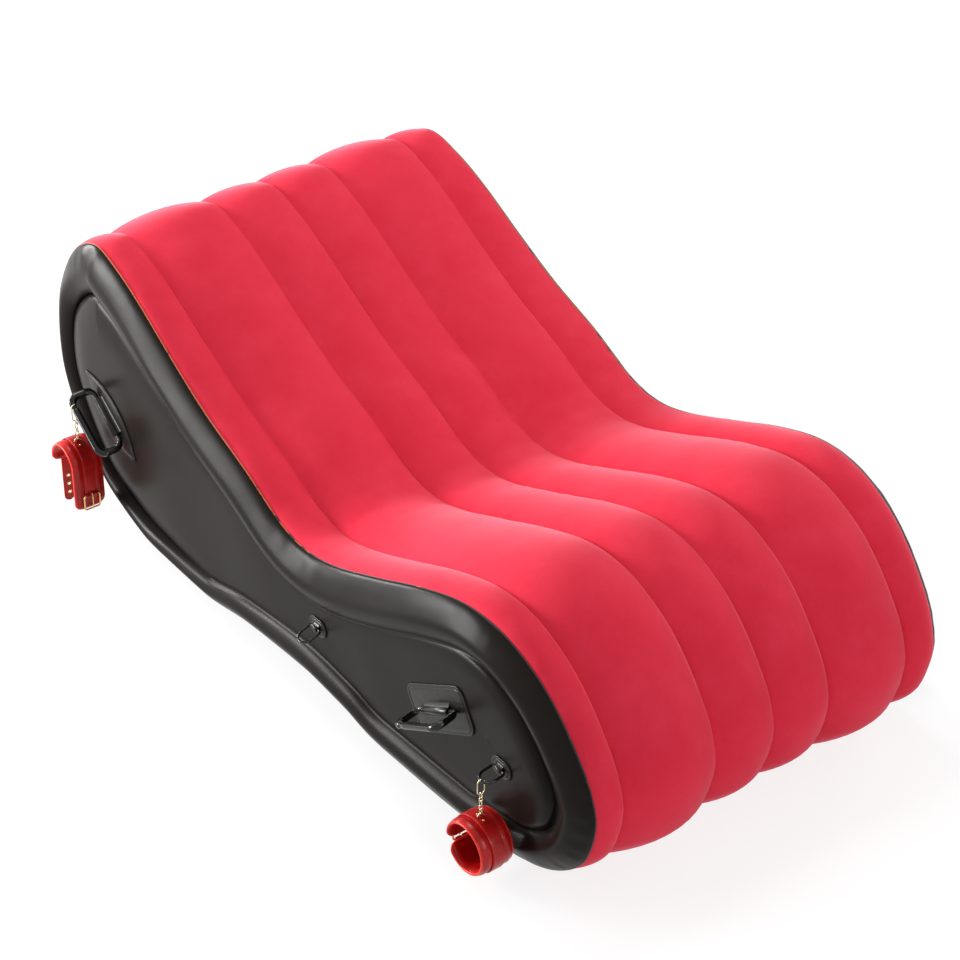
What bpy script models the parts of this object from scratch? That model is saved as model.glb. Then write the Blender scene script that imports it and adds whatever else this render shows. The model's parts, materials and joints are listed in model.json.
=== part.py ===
"""Inflatable sofa bed: a long air lounger with a high head end, a dipped waist and a rounded foot end.

Its skin is four welded panels over five inner webs. Moulded grips, rings and padded strap cuffs hang
on patches at its two sides, and a valve sits in the left side. Metres, +Z up, +X towards the foot.
"""

import math

import bmesh
import bpy
from mathutils import Matrix, Vector

# The body
LENGTH = 1.49
WIDTH = 0.737
HEIGHT = 0.535
END_DRAW = 0.0212
SHEET = 0.002
GAP = 0.0003
TOP_STATIONS = 32
FLOOR_STATIONS = 14
CURVE_STEPS = 10
TURN_WEIGHT_SHARE = 0.16

# Side outline as shares of LENGTH and HEIGHT, and the edge tube's width as a share of TUBE_WIDTH
OUTLINE_SHARES = (
    (0.327, 0.000, 0.90),
    (0.401, 0.022, 0.90),
    (0.448, 0.075, 0.86),
    (0.485, 0.178, 0.84),
    (0.500, 0.323, 0.84),
    (0.493, 0.430, 0.84),
    (0.475, 0.520, 0.84),
    (0.444, 0.626, 0.86),
    (0.408, 0.707, 0.88),
    (0.357, 0.766, 0.90),
    (0.300, 0.770, 0.92),
    (0.233, 0.714, 0.96),
    (0.156, 0.622, 1.00),
    (0.082, 0.540, 1.00),
    (0.028, 0.510, 1.00),
    (-0.022, 0.533, 1.00),
    (-0.089, 0.622, 1.00),
    (-0.166, 0.707, 1.00),
    (-0.233, 0.804, 1.02),
    (-0.297, 0.905, 1.06),
    (-0.351, 0.972, 1.10),
    (-0.401, 1.000, 1.10),
    (-0.451, 0.925, 1.00),
    (-0.488, 0.785, 0.80),
    (-0.500, 0.626, 0.62),
    (-0.497, 0.458, 0.56),
    (-0.473, 0.308, 0.54),
    (-0.435, 0.178, 0.52),
    (-0.391, 0.079, 0.52),
    (-0.317, 0.015, 0.52),
    (-0.264, 0.000, 0.54),
    (-0.163, 0.000, 0.62),
    (-0.082, 0.034, 0.74),
    (0.028, 0.052, 0.84),
    (0.106, 0.034, 0.86),
    (0.173, 0.000, 0.88),
)
FOOT_SEAM_POINT = 1
HEAD_SEAM_POINT = 28

# Seat ribs: seams as shares of half the width, crowns as shares of each rib's own width
RIB_SEAM_SHARES = (-0.80, -0.31, 0.01, 0.32, 0.77)
RIB_CROWN_SHARE = 0.125
RIB_COLUMNS = 3
RIB_FADE = 0.11

# Side panels: a round tube along the seam, then a flat pillow
TUBE_WIDTH = 0.085
TUBE_BULGE = 0.028
TUBE_TURNS = (0, 35, 75, 120, 160)
PILLOW_RISE = 0.028
PILLOW_STAND = 0.012
PILLOW_CREST_SHARE = 0.7
SPINE_SHARES = ((-0.37, 0.50), (-0.27, 0.43), (-0.13, 0.345), (0.024, 0.295), (0.17, 0.34), (0.35, 0.40))

# Inner webs and the air holes through them
WEB_HOLE_RADIUS = 0.032
WEB_HOLE_SHARES = ((-0.29, 0.42), (-0.10, 0.31), (0.25, 0.38))
HOLE_SIDES = 16

# Grips on their patches
PATCH_THICKNESS = 0.0025
GRIP_WIDTH = 0.125
GRIP_REACH = 0.052
GRIP_WIRE = 0.0045
GRIP_CORNER = 0.014
GRIP_DROOP = math.radians(10)
SLEEVE_LENGTH = 0.074
SLEEVE_WALL = 0.002
SLEEVE_SIDES = 12
BORE_CLEARANCE = 0.0005
SLEEVE_LIFT = 0.0005
HEAD_PATCH_SHARES = (-0.3665, 0.419)
HEAD_PATCH_TILT = math.radians(-36)
HEAD_LEAF_LENGTH = 0.19
HEAD_LEAF_WIDTH = 0.075
FOOT_PATCH_SHARES = (0.2792, 0.374)
FOOT_PATCH_TILT = math.radians(31)
FOOT_PATCH_LENGTH = 0.162
FOOT_PATCH_WIDTH = 0.082
FOOT_PATCH_CORNER = 0.018
PATCH_SIDES = 24

# Ring tabs
TAB_LENGTH = 0.046
TAB_WIDTH = 0.034
WAIST_TAB_SHARES = (0.0586, 0.286)
FOOT_TAB_SHARES = (0.3807, 0.351)
RING_WIDTH = 0.028
RING_REACH = 0.036
RING_WIRE = 0.0022
RING_SLEEVE = 0.013
WAIST_RING_DROOP = math.radians(20)

# Chains: a long hook, then small links
WIRE = 0.001
HOOK_DROP = 0.026
HOOK_WIDTH = 0.0135
LINK_PITCH = 0.008
LINK_WIDTH = 0.0056
LINKS = 5
LINK_HOLD_SHARE = 1.1
WIRE_SLACK = 0.0004
GRIP_HOOK_SHARE = 0.63

# Cuffs
PAD_WIDTH = 0.058
PAD_THICKNESS = 0.007
STRAP_WIDTH = 0.022
STRAP_THICKNESS = 0.0025
CUFF_RADIUS = 0.049
CLOSED_START = math.radians(-152)
CLOSED_SWEEP = math.radians(344)
CLOSED_SHIFT = -0.0016
ARCH_RADIUS = 0.041
ARCH_SHIFT = -0.0094
ARCH_PAD_LEG = 0.083
ARCH_TONGUE = 0.112
SPREAD_RADIUS = 0.095
SPREAD_TURN = math.radians(48)
SPREAD_SHIFT = -0.0118
SPREAD_PAD_LEG = 0.05
SPREAD_TONGUE = 0.07
PAD_SHOULDER = 0.012
DEE_WIDTH = 0.013
DEE_DROP = 0.009
KEEPER_LENGTH = 0.0088
KEEPER_WALL = 0.0012
BUCKLE_HEIGHT = 0.028
BUCKLE_WIDTH = 0.031
BUCKLE_WIRE = 0.0016
BUCKLE_CORNER = 0.004
PRONG_WIRE = 0.0011
PRONG_STEM_SHARE = 0.85
EYELET_RADIUS = 0.0022
EYELET_PITCH = 0.018
EYELETS = 3

# Valve in the left side
VALVE_SHARES = (-0.16, 0.33)
VALVE_FLANGE_RADIUS = 0.022
VALVE_FLANGE = 0.003
VALVE_NECK_RADIUS = 0.0095
VALVE_BORE_RADIUS = 0.0065
VALVE_NECK = 0.014
VALVE_FIT = 0.0007
VALVE_FLAP = 0.0015
VALVE_FLAP_OVERLAP = 0.0012
VALVE_CAP_RADIUS = 0.012
VALVE_CAP = 0.0035
VALVE_PLUG = 0.003
VALVE_LUG = 0.007
VALVE_SIDES = 24

# One length by which every cutter runs past what it cuts
OVERRUN = 0.01

SEAM_GAP = GAP / 2
HALF_WIDTH = WIDTH / 2
PLATEAU = HALF_WIDTH + PILLOW_STAND
RIGHT, LEFT = -1, 1
SIDE_NAMES = {RIGHT: "right", LEFT: "left"}
FOOT_CUFF_KINDS = {RIGHT: "closed", LEFT: "spread"}
OPEN_BENDS = {
    "arch": (ARCH_RADIUS, math.pi / 2, ARCH_SHIFT, ARCH_PAD_LEG, ARCH_TONGUE),
    "spread": (SPREAD_RADIUS, SPREAD_TURN, SPREAD_SHIFT, SPREAD_PAD_LEG, SPREAD_TONGUE),
}


def clear_scene():
    for item in list(bpy.data.objects):
        bpy.data.objects.remove(item, do_unlink=True)


def material(name, colour, roughness, metallic=0.0):
    made = bpy.data.materials.new(name)
    made.use_nodes = True
    shader = made.node_tree.nodes["Principled BSDF"]
    shader.inputs["Base Color"].default_value = (*colour, 1.0)
    shader.inputs["Roughness"].default_value = roughness
    shader.inputs["Metallic"].default_value = metallic
    return made


def pivot(name, place, parent=None):
    """An empty on a joint's axis. It carries the pieces that turn there."""
    made = bpy.data.objects.new(name, None)
    bpy.context.scene.collection.objects.link(made)
    made.parent = parent
    made["place"] = tuple(place)
    start = Vector(parent["place"]) if parent else Vector()
    made.location = Vector(place) - start
    return made


def add_piece(name, shape, finish, carrier=None, helper=False, smooth=False):
    """Turns a bmesh in world coordinates into an object whose origin is its carrier's."""
    if carrier:
        bmesh.ops.translate(shape, verts=shape.verts, vec=-Vector(carrier["place"]))
    bmesh.ops.recalc_face_normals(shape, faces=shape.faces)
    mesh = bpy.data.meshes.new(name)
    shape.to_mesh(mesh)
    shape.free()
    made = bpy.data.objects.new(name, mesh)
    bpy.context.scene.collection.objects.link(made)
    made.parent = carrier
    if finish:
        mesh.materials.append(finish)
    if smooth:
        mesh.shade_smooth()
        mesh.set_sharp_from_angle(angle=math.radians(40))
    if helper:
        made.hide_render = True
        made.display_type = "WIRE"
    return made


def join_with(target, other, operation):
    made = target.modifiers.new(operation.title(), "BOOLEAN")
    made.operation = operation
    made.solver = "EXACT"
    made.object = other


def blend(start, end, share):
    return start + (end - start) * share


def quads_between(shape, first, second, closed=False):
    """Faces between two rows of vertices."""
    count = len(first)
    for i in range(count if closed else count - 1):
        j = (i + 1) % count
        shape.faces.new((first[i], first[j], second[j], second[i]))


def prism(shape, outline, low, high, frame):
    """A flat plate: an outline of (u, v) points, between two heights of a frame."""
    floor = [shape.verts.new(frame @ Vector((u, v, low))) for u, v in outline]
    roof = [shape.verts.new(frame @ Vector((u, v, high))) for u, v in outline]
    shape.faces.new(floor)
    shape.faces.new(roof)
    quads_between(shape, floor, roof, closed=True)


def rod(shape, start, end, radius, sides):
    """A round bar from one point to another."""
    along = (end - start).normalized()
    across = along.orthogonal().normalized()
    other = along.cross(across)
    rings = []
    for centre in (start, end):
        ring = []
        for k in range(sides):
            turn = 2 * math.pi * k / sides
            ring.append(shape.verts.new(centre + radius * (math.cos(turn) * across + math.sin(turn) * other)))
        rings.append(ring)
        shape.faces.new(ring)
    quads_between(shape, rings[0], rings[1], closed=True)


def wire_loop(shape, points, normal, radius, sides):
    """A round wire bent into a closed flat loop, square to normal."""
    rings = []
    for i, point in enumerate(points):
        before = (point - points[i - 1]).normalized()
        after = (points[(i + 1) % len(points)] - point).normalized()
        along = (before + after).normalized()
        across = along.cross(normal) / max(along.dot(after), 0.5)
        ring = []
        for k in range(sides):
            turn = 2 * math.pi * (k + 0.5) / sides
            ring.append(shape.verts.new(point + radius * (math.cos(turn) * normal + math.sin(turn) * across)))
        rings.append(ring)
    for i in range(len(rings)):
        quads_between(shape, rings[i - 1], rings[i], closed=True)


def arc(centre_u, centre_v, radius, start, end, steps):
    turns = [blend(start, end, k / steps) for k in range(steps + 1)]
    return [(centre_u + radius * math.cos(turn), centre_v + radius * math.sin(turn)) for turn in turns]


def rounded_box(half_u, half_v, corner, steps):
    """The outline of a rectangle with round corners."""
    points = []
    for k, (side_u, side_v) in enumerate(((1, 1), (-1, 1), (-1, -1), (1, -1))):
        start = k * math.pi / 2
        points += arc(side_u * (half_u - corner), side_v * (half_v - corner), corner, start, start + math.pi / 2, steps)
    return points


def oval(half_u, half_v, steps):
    """The outline of a slot shape, longer along v."""
    reach = half_v - half_u
    return arc(0, reach, half_u, 0, math.pi, steps) + arc(0, -reach, half_u, math.pi, 2 * math.pi, steps)


def turned(shape, profile, sides, frame, ring_shaped=False):
    """A turned piece: (radius, height) points swept about the frame's third axis."""
    rings = []
    for radius, height in profile:
        ring = []
        for k in range(sides):
            turn = 2 * math.pi * k / sides
            ring.append(shape.verts.new(frame @ Vector((radius * math.cos(turn), radius * math.sin(turn), height))))
        rings.append(ring)
    for lower, upper in zip(rings, rings[1:]):
        quads_between(shape, lower, upper, closed=True)
    if ring_shaped:
        quads_between(shape, rings[-1], rings[0], closed=True)
    else:
        shape.faces.new(rings[0])
        shape.faces.new(rings[-1])


# The outline as a smooth closed curve, and the stations that every panel shares


def curve_value(before, start, end, after, t):
    """One coordinate of a smooth curve that passes through its points."""
    linear = (end - before) * t
    square = (2 * before - 5 * start + 4 * end - after) * t * t
    cube = (3 * start - before - 3 * end + after) * t**3
    return (2 * start + linear + square + cube) / 2


def fine_outline():
    """Points (x, z, tube width) all along the outline, CURVE_STEPS to each of its spans."""
    rows = OUTLINE_SHARES
    count = len(rows)
    points = []
    for i in range(count):
        spans = [rows[(i + k) % count] for k in (-1, 0, 1, 2)]
        for step in range(CURVE_STEPS):
            x, z, tube = (curve_value(*column, step / CURVE_STEPS) for column in zip(*spans))
            points.append(Vector((x * LENGTH, max(z, 0) * HEIGHT, tube * TUBE_WIDTH)))
    return points


def outward(points, index):
    """The outline's outward direction at a point, in the side plane."""
    ahead = points[(index + 1) % len(points)]
    behind = points[index - 1]
    along = Vector((ahead.x - behind.x, 0, ahead.y - behind.y)).normalized()
    return Vector((along.z, 0, -along.x))


def turn_weights(points, indices):
    """Distance run so far, with turning counted too, so that curved stretches get more stations."""
    total = [0.0]
    for a, b in zip(indices, indices[1:]):
        step = (points[b].xy - points[a].xy).length / LENGTH
        turn = outward(points, a).angle(outward(points, b), 0.0)
        total.append(total[-1] + step + TURN_WEIGHT_SHARE * turn)
    return total


def stations_between(points, first, last, spans):
    """Stations from one fine point to another, as (place, outward direction, tube width)."""
    if last < first:
        last += len(points)
    indices = [i % len(points) for i in range(first, last + 1)]
    weights = turn_weights(points, indices)
    chosen = []
    for k in range(spans + 1):
        target = weights[-1] * k / spans
        nearest = min(range(len(weights)), key=lambda i: abs(weights[i] - target))
        index = indices[nearest]
        place = Vector((points[index].x, 0, points[index].y))
        chosen.append((place, outward(points, index), points[index].z))
    return chosen


def half_width(x):
    return HALF_WIDTH - END_DRAW * (2 * x / LENGTH) ** 2


def spine_place(x):
    """A point on the line that runs along the middle of each side panel."""
    rows = [(share_x * LENGTH, share_z * HEIGHT) for share_x, share_z in SPINE_SHARES]
    x = min(max(x, rows[0][0]), rows[-1][0])
    for (x0, z0), (x1, z1) in zip(rows, rows[1:]):
        if x <= x1:
            return Vector((x, 0, blend(z0, z1, (x - x0) / (x1 - x0))))
    return Vector((rows[-1][0], 0, rows[-1][1]))


# Panels


def rib_edges():
    return [-1.0, *RIB_SEAM_SHARES, 1.0]


def rib_columns():
    """Each column across the seat: its share of the half width, and its crown at full height."""
    columns = []
    edges = rib_edges()
    for left, right in zip(edges, edges[1:]):
        crown = (right - left) * HALF_WIDTH * RIB_CROWN_SHARE
        for k in range(RIB_COLUMNS):
            across = 2 * k / RIB_COLUMNS - 1
            columns.append((blend(left, right, k / RIB_COLUMNS), crown * (1 - across * across) * 9 / 8))
    columns.append((1.0, 0.0))
    return columns


def column_y(share, x):
    """The edge columns follow the drawn-in seams, and the rib seams run straight."""
    edge = half_width(x) - SEAM_GAP
    inner = max(abs(s) for s in RIB_SEAM_SHARES if s * share > 0) if share else 0
    if abs(share) <= inner:
        return share * HALF_WIDTH
    out = (abs(share) - inner) / (1 - inner)
    return math.copysign(blend(inner * HALF_WIDTH, edge, out), share)


def top_panel(stations, finish):
    shape = bmesh.new()
    columns = rib_columns()
    outer, inner = [], []
    for place, out, _ in stations:
        fade = min(place.z / RIB_FADE, 1.0)
        outer_row, inner_row = [], []
        for share, crown in columns:
            base = Vector((place.x, column_y(share, place.x), place.z))
            skin = base + out * crown * fade
            outer_row.append(shape.verts.new(skin))
            inner_row.append(shape.verts.new(skin - out * SHEET))
        outer.append(outer_row)
        inner.append(inner_row)
    sheet_faces(shape, outer, inner)
    return add_piece("top_panel", shape, finish, smooth=True)


def sheet_faces(shape, outer, inner):
    """Closes a sheet: its two skins and the four edges between them."""
    for rows in (outer, inner):
        for first, second in zip(rows, rows[1:]):
            quads_between(shape, first, second)
    quads_between(shape, outer[0], inner[0])
    quads_between(shape, outer[-1], inner[-1])
    for end in (0, -1):
        quads_between(shape, [row[end] for row in outer], [row[end] for row in inner])


def bottom_panel(stations, finish):
    shape = bmesh.new()
    outer, inner = [], []
    places = [place.copy() for place, _, _ in stations]
    places[0] += (places[1] - places[0]).normalized() * GAP
    places[-1] += (places[-2] - places[-1]).normalized() * GAP
    for place, (_, out, _) in zip(places, stations):
        edge = half_width(place.x) - SEAM_GAP
        ends = [Vector((place.x, side * edge, place.z)) for side in (RIGHT, LEFT)]
        outer.append([shape.verts.new(end) for end in ends])
        inner.append([shape.verts.new(end - out * SHEET) for end in ends])
    sheet_faces(shape, outer, inner)
    return add_piece("bottom_panel", shape, finish)


def side_profile(x, tube):
    """The side panel's section at a station: (depth from the seam, distance from the middle plane)."""
    seam = half_width(x) + SEAM_GAP
    points = []
    for degrees in TUBE_TURNS:
        turn = math.radians(degrees)
        points.append((tube * (1 - math.cos(turn)) / 2, seam + TUBE_BULGE * math.sin(turn)))
    groove = points[-1]
    crest = blend(groove[1], PLATEAU, PILLOW_CREST_SHARE)
    points.append((groove[0] + PILLOW_RISE * (1 - PILLOW_CREST_SHARE), crest))
    points.append((groove[0] + PILLOW_RISE, PLATEAU))
    return points


def inner_profile(points):
    """The same section, one sheet thickness further in."""
    moved = []
    for i, (depth, y) in enumerate(points):
        if i == 0:
            moved.append((depth + SHEET, y))
            continue
        if i == len(points) - 1:
            moved.append((depth, y - SHEET))
            continue
        step = Vector((points[i + 1][0] - points[i - 1][0], points[i + 1][1] - points[i - 1][1])).normalized()
        moved.append((depth + step.y * SHEET, y - step.x * SHEET))
    return moved


def side_place(station, depth, y, side):
    """A point of the side panel: in from the seam along the tube, then on towards the spine."""
    place, out, tube = station
    if depth <= tube:
        spot = place - out * depth
    else:
        start = place - out * tube
        spot = start + (spine_place(place.x) - start).normalized() * (depth - tube)
    return Vector((spot.x, side * y, spot.z))


def side_panel(stations, side, finish):
    shape = bmesh.new()
    skins = []
    for kind in (lambda points: points, inner_profile):
        columns = []
        for station in stations:
            profile = kind(side_profile(station[0].x, station[2]))
            columns.append([shape.verts.new(side_place(station, depth, y, side)) for depth, y in profile])
        loops = [list(loop) for loop in zip(*columns)]
        for first, second in zip(loops, loops[1:]):
            quads_between(shape, first, second, closed=True)
        shape.faces.new(loops[-1])
        skins.append(loops)
    quads_between(shape, skins[0][0], skins[1][0], closed=True)
    return add_piece(f"side_panel_{SIDE_NAMES[side]}", shape, finish, smooth=True)


def web_cutter():
    """Round bars across the whole width, one for each row of air holes."""
    shape = bmesh.new()
    for share_x, share_z in WEB_HOLE_SHARES:
        centre = Vector((share_x * LENGTH, 0, share_z * HEIGHT))
        reach = Vector((0, HALF_WIDTH + OVERRUN, 0))
        rod(shape, centre - reach, centre + reach, WEB_HOLE_RADIUS, HOLE_SIDES)
    return add_piece("web_hole_cutter", shape, None, helper=True)


def web(number, share, stations, cutter, finish):
    shape = bmesh.new()
    faces = []
    for side in (RIGHT, LEFT):
        y = share * HALF_WIDTH + side * SHEET / 2
        edge = [place - out * (SHEET + GAP) for place, out, _ in stations]
        faces.append([shape.verts.new(Vector((spot.x, y, spot.z))) for spot in edge])
        shape.faces.new(faces[-1])
    quads_between(shape, faces[0], faces[1], closed=True)
    made = add_piece(f"inner_web_{number}", shape, finish)
    join_with(made, cutter, "DIFFERENCE")


# Patches, grips and rings


def patch_frame(shares, tilt, side):
    """Axes on a side panel: u along the tilt, v across it, height outwards from the flat pillow."""
    u = Vector((math.cos(tilt), 0, math.sin(tilt)))
    v = Vector((-math.sin(tilt), 0, math.cos(tilt)))
    out = Vector((0, side, 0))
    frame = Matrix((u, v, out)).transposed().to_4x4()
    frame.translation = Vector((shares[0] * LENGTH, side * PLATEAU, shares[1] * HEIGHT))
    return frame


def sleeve_height(wire):
    return GAP + PATCH_THICKNESS + SLEEVE_LIFT + wire + BORE_CLEARANCE


def patch(name, outline, frame, wire, sleeve, finish):
    """A welded patch with a sleeve across it, bored for a wire."""
    shape = bmesh.new()
    prism(shape, outline, GAP, GAP + PATCH_THICKNESS, frame)
    made = add_piece(name, shape, finish)
    height = sleeve_height(wire)
    bore = wire + BORE_CLEARANCE
    for kind, reach, radius in (("UNION", sleeve / 2, bore + SLEEVE_WALL), ("DIFFERENCE", sleeve, bore)):
        shape = bmesh.new()
        ends = [frame @ Vector((sign * reach, 0, height)) for sign in (-1, 1)]
        rod(shape, ends[0], ends[1], radius, SLEEVE_SIDES)
        helper = add_piece(f"{name}_{kind.lower()}_helper", shape, None, helper=True)
        join_with(made, helper, kind)
    return made


def leaf_outline():
    """A pointed oval, as two shallow arcs."""
    half = HEAD_LEAF_LENGTH / 2
    rise = HEAD_LEAF_WIDTH / 2
    radius = (half * half + rise * rise) / (2 * rise)
    turn = math.asin(half / radius)
    steps = PATCH_SIDES // 2
    over = arc(0, rise - radius, radius, math.pi / 2 - turn, math.pi / 2 + turn, steps)
    under = arc(0, radius - rise, radius, 1.5 * math.pi - turn, 1.5 * math.pi + turn, steps)
    return over[:-1] + under[:-1]


def swung(frame, height, droop):
    """The frame of a loop that pivots on the sleeve's axis, let down by its droop."""
    return frame @ Matrix.Translation((0, 0, height)) @ Matrix.Rotation(droop, 4, "X")


def grip_outline():
    """The grip's centre line: its inner bar lies on the pivot axis."""
    half_u = GRIP_WIDTH / 2 - GRIP_WIRE
    half_v = (GRIP_REACH - 2 * GRIP_WIRE) / 2
    return [(u, v + half_v) for u, v in rounded_box(half_u, half_v, GRIP_CORNER, 3)]


def ring_outline():
    """A D shape: a straight bar on the pivot axis and a round nose."""
    half_u = RING_WIDTH / 2
    nose = arc(0, RING_REACH - RING_WIRE - half_u, half_u, 0, math.pi, 6)
    return [(-half_u, 0), (half_u, 0), *nose]


def loop_piece(name, outline, frame, wire, sides, finish, carrier):
    shape = bmesh.new()
    points = [frame @ Vector((u, 0, v)) for u, v in outline]
    normal = (frame.to_3x3() @ Vector((0, 1, 0))).normalized()
    wire_loop(shape, points, normal, wire, sides)
    return add_piece(name, shape, finish, carrier, smooth=True)


def grip_station(place, side, finish):
    """A patch and its grip. Returns the grip's pivot and the point where a hook may hang."""
    label = f"{place}_{{}}_{SIDE_NAMES[side]}"
    if place == "head":
        frame = patch_frame(HEAD_PATCH_SHARES, HEAD_PATCH_TILT, side)
        outline = leaf_outline()
    else:
        frame = patch_frame(FOOT_PATCH_SHARES, FOOT_PATCH_TILT, side)
        outline = rounded_box(FOOT_PATCH_LENGTH / 2, FOOT_PATCH_WIDTH / 2, FOOT_PATCH_CORNER, 3)
    patch(label.format("patch"), outline, frame, GRIP_WIRE, SLEEVE_LENGTH, finish["patch"])
    height = sleeve_height(GRIP_WIRE)
    axis_point = frame @ Vector((0, 0, height))
    carrier = pivot(label.format("grip") + "_pivot", axis_point)
    turned_frame = swung(frame, height, GRIP_DROOP)
    loop_piece(label.format("grip"), grip_outline(), turned_frame, GRIP_WIRE, 8, finish["grip"], carrier)
    corner = Vector((-GRIP_HOOK_SHARE * GRIP_WIDTH / 2, 0, GRIP_REACH - 2 * GRIP_WIRE))
    return carrier, turned_frame @ corner


def ring_station(place, side, finish):
    """A small tab and its ring. Returns the ring's pivot and the middle of its nose."""
    label = f"{place}_{{}}_{SIDE_NAMES[side]}"
    shares = WAIST_TAB_SHARES if place == "waist" else FOOT_TAB_SHARES
    frame = patch_frame(shares, 0, side)
    outline = rounded_box(TAB_LENGTH / 2, TAB_WIDTH / 2, TAB_WIDTH / 2 * 0.9, 3)
    patch(label.format("tab"), outline, frame, RING_WIRE, RING_SLEEVE, finish["patch"])
    height = sleeve_height(RING_WIRE)
    carrier = pivot(label.format("ring") + "_pivot", frame @ Vector((0, 0, height)))
    droop = WAIST_RING_DROOP if place == "waist" else GRIP_DROOP
    turned_frame = swung(frame, height, droop)
    loop_piece(label.format("ring"), ring_outline(), turned_frame, RING_WIRE, 8, finish["grip"], carrier)
    return carrier, turned_frame @ Vector((0, 0, RING_REACH - RING_WIRE))


# Chains


def upright_loop(shape, centre, half_width_of_loop, half_height, across, sides, steps):
    """An upright slot-shaped wire loop whose width runs along across."""
    up = Vector((0, 0, 1))
    points = [centre + across * u + up * v for u, v in oval(half_width_of_loop, half_height, steps)]
    wire_loop(shape, points, across.cross(up), WIRE, sides)


def hook(name, hang, bar_wire, bar_tilt, carrier_before, finish):
    """The long first loop, hung over a bar at hang. Returns its pivot and its lower wire's centre."""
    carrier = pivot(name + "_pivot", hang, carrier_before)
    slope = abs(math.tan(bar_tilt))
    top = hang.z + bar_wire / math.cos(bar_tilt) + WIRE * (1 + slope) + WIRE_SLACK
    bottom = hang.z - HOOK_DROP
    shape = bmesh.new()
    centre = Vector((hang.x, hang.y, (top + bottom) / 2))
    upright_loop(shape, centre, HOOK_WIDTH / 2, (top - bottom) / 2, Vector((0, 1, 0)), 6, 6)
    add_piece(name, shape, finish, carrier, smooth=True)
    return carrier, Vector((hang.x, hang.y, bottom))


def chain_mesh():
    """One chain below the origin, its links fused where they bear on each other."""
    hold = LINK_HOLD_SHARE * WIRE
    half_height = (LINK_PITCH + hold) / 2
    first = 2 * WIRE + WIRE_SLACK - half_height
    links = []
    for k in range(LINKS):
        shape = bmesh.new()
        across = Vector((1, 0, 0)) if k % 2 == 0 else Vector((0, 1, 0))
        centre = Vector((0, 0, first - k * LINK_PITCH))
        upright_loop(shape, centre, LINK_WIDTH / 2, half_height, across, 4, 4)
        links.append(add_piece(f"link_helper_{k}", shape, None, helper=True))
    for link in links[1:]:
        join_with(links[0], link, "UNION")
    bpy.context.view_layer.update()
    graph = bpy.context.evaluated_depsgraph_get()
    mesh = bpy.data.meshes.new_from_object(links[0].evaluated_get(graph))
    for link in links:
        bpy.data.objects.remove(link, do_unlink=True)
    end = first - (LINKS - 1) * LINK_PITCH - half_height
    return mesh, end


def chain(name, top, mesh, finish, carrier_before):
    carrier = pivot(name + "_pivot", top, carrier_before)
    made = bpy.data.objects.new(name, mesh)
    bpy.context.scene.collection.objects.link(made)
    made.parent = carrier
    if not mesh.materials:
        mesh.materials.append(finish)
    return carrier


# Cuffs


def band(shape, path, inner, outer, half, frame):
    """A strip bent along a path: from inner to outer off the path, half its width to each side."""
    edges = []
    for offset in (inner, outer):
        edge = []
        for i, point in enumerate(path):
            behind = path[max(i - 1, 0)]
            ahead = path[min(i + 1, len(path) - 1)]
            along = Vector((ahead[0] - behind[0], ahead[1] - behind[1])).normalized()
            edge.append((point[0] + along.y * offset, point[1] - along.x * offset))
        edges.append(edge)
    prism(shape, edges[0] + edges[1][::-1], -half, half, frame)


def bent_band(radius, start, end, shift, first_leg, last_leg, steps):
    """A centre path in a cuff's frame: a straight leg, an arc about the hanging point, a straight leg."""
    inside = radius - PAD_THICKNESS - STRAP_THICKNESS - GAP
    middle = -math.sqrt(radius * radius - shift * shift)
    path = arc(shift, middle, inside, start, end, steps)
    if first_leg:
        path.insert(0, (path[0][0] + math.sin(start) * first_leg, path[0][1] - math.cos(start) * first_leg))
    if last_leg:
        path.append((path[-1][0] - math.sin(end) * last_leg, path[-1][1] + math.cos(end) * last_leg))
    return path


def cuff_paths(kind):
    """Where the pad and its strap run. The strap starts a buckle's height up the pad's first leg."""
    if kind == "closed":
        path = bent_band(CUFF_RADIUS, CLOSED_START, CLOSED_START + CLOSED_SWEEP, CLOSED_SHIFT, 0, 0, 20)
        return path, path, CLOSED_START
    radius, spread, shift, leg, tongue = OPEN_BENDS[kind]
    start, end = math.pi / 2 - spread, math.pi / 2 + spread
    pad = bent_band(radius, start, end, shift, leg, PAD_SHOULDER, 10)
    strap = bent_band(radius, start, end, shift, leg - BUCKLE_HEIGHT, tongue, 10)
    return pad, strap, start


def cuff_frame(place):
    """Axes in a cuff: u along X, v up, height across the band."""
    frame = Matrix(((1, 0, 0), (0, 0, -1), (0, 1, 0))).to_4x4()
    frame.translation = place
    return frame


def sleeve_on(made, name, centre, across, reach, wire, wall, slack):
    """Adds a bored sleeve to a strap, round a wire that runs across it."""
    for kind, half, radius in (("UNION", reach, wire + slack + wall), ("DIFFERENCE", 2 * reach, wire + slack)):
        shape = bmesh.new()
        rod(shape, centre - across * half, centre + across * half, radius, SLEEVE_SIDES)
        helper = add_piece(f"{name}_{kind.lower()}_helper", shape, None, helper=True)
        join_with(made, helper, kind)


def d_ring(name, pin, bar_z, finish, carrier):
    """A D ring in the plane across the cuff: the chain bears on its nose, the keeper holds its bar."""
    half = DEE_WIDTH / 2
    nose = arc(0, -half, half, 0, math.pi, 5)
    outline = [(half, bar_z - pin.z), *nose[1:-1], (-half, bar_z - pin.z)]
    shape = bmesh.new()
    points = [pin + Vector((0, u, v)) for u, v in outline]
    wire_loop(shape, points, Vector((1, 0, 0)), WIRE, 6)
    add_piece(name, shape, finish, carrier, smooth=True)


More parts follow.
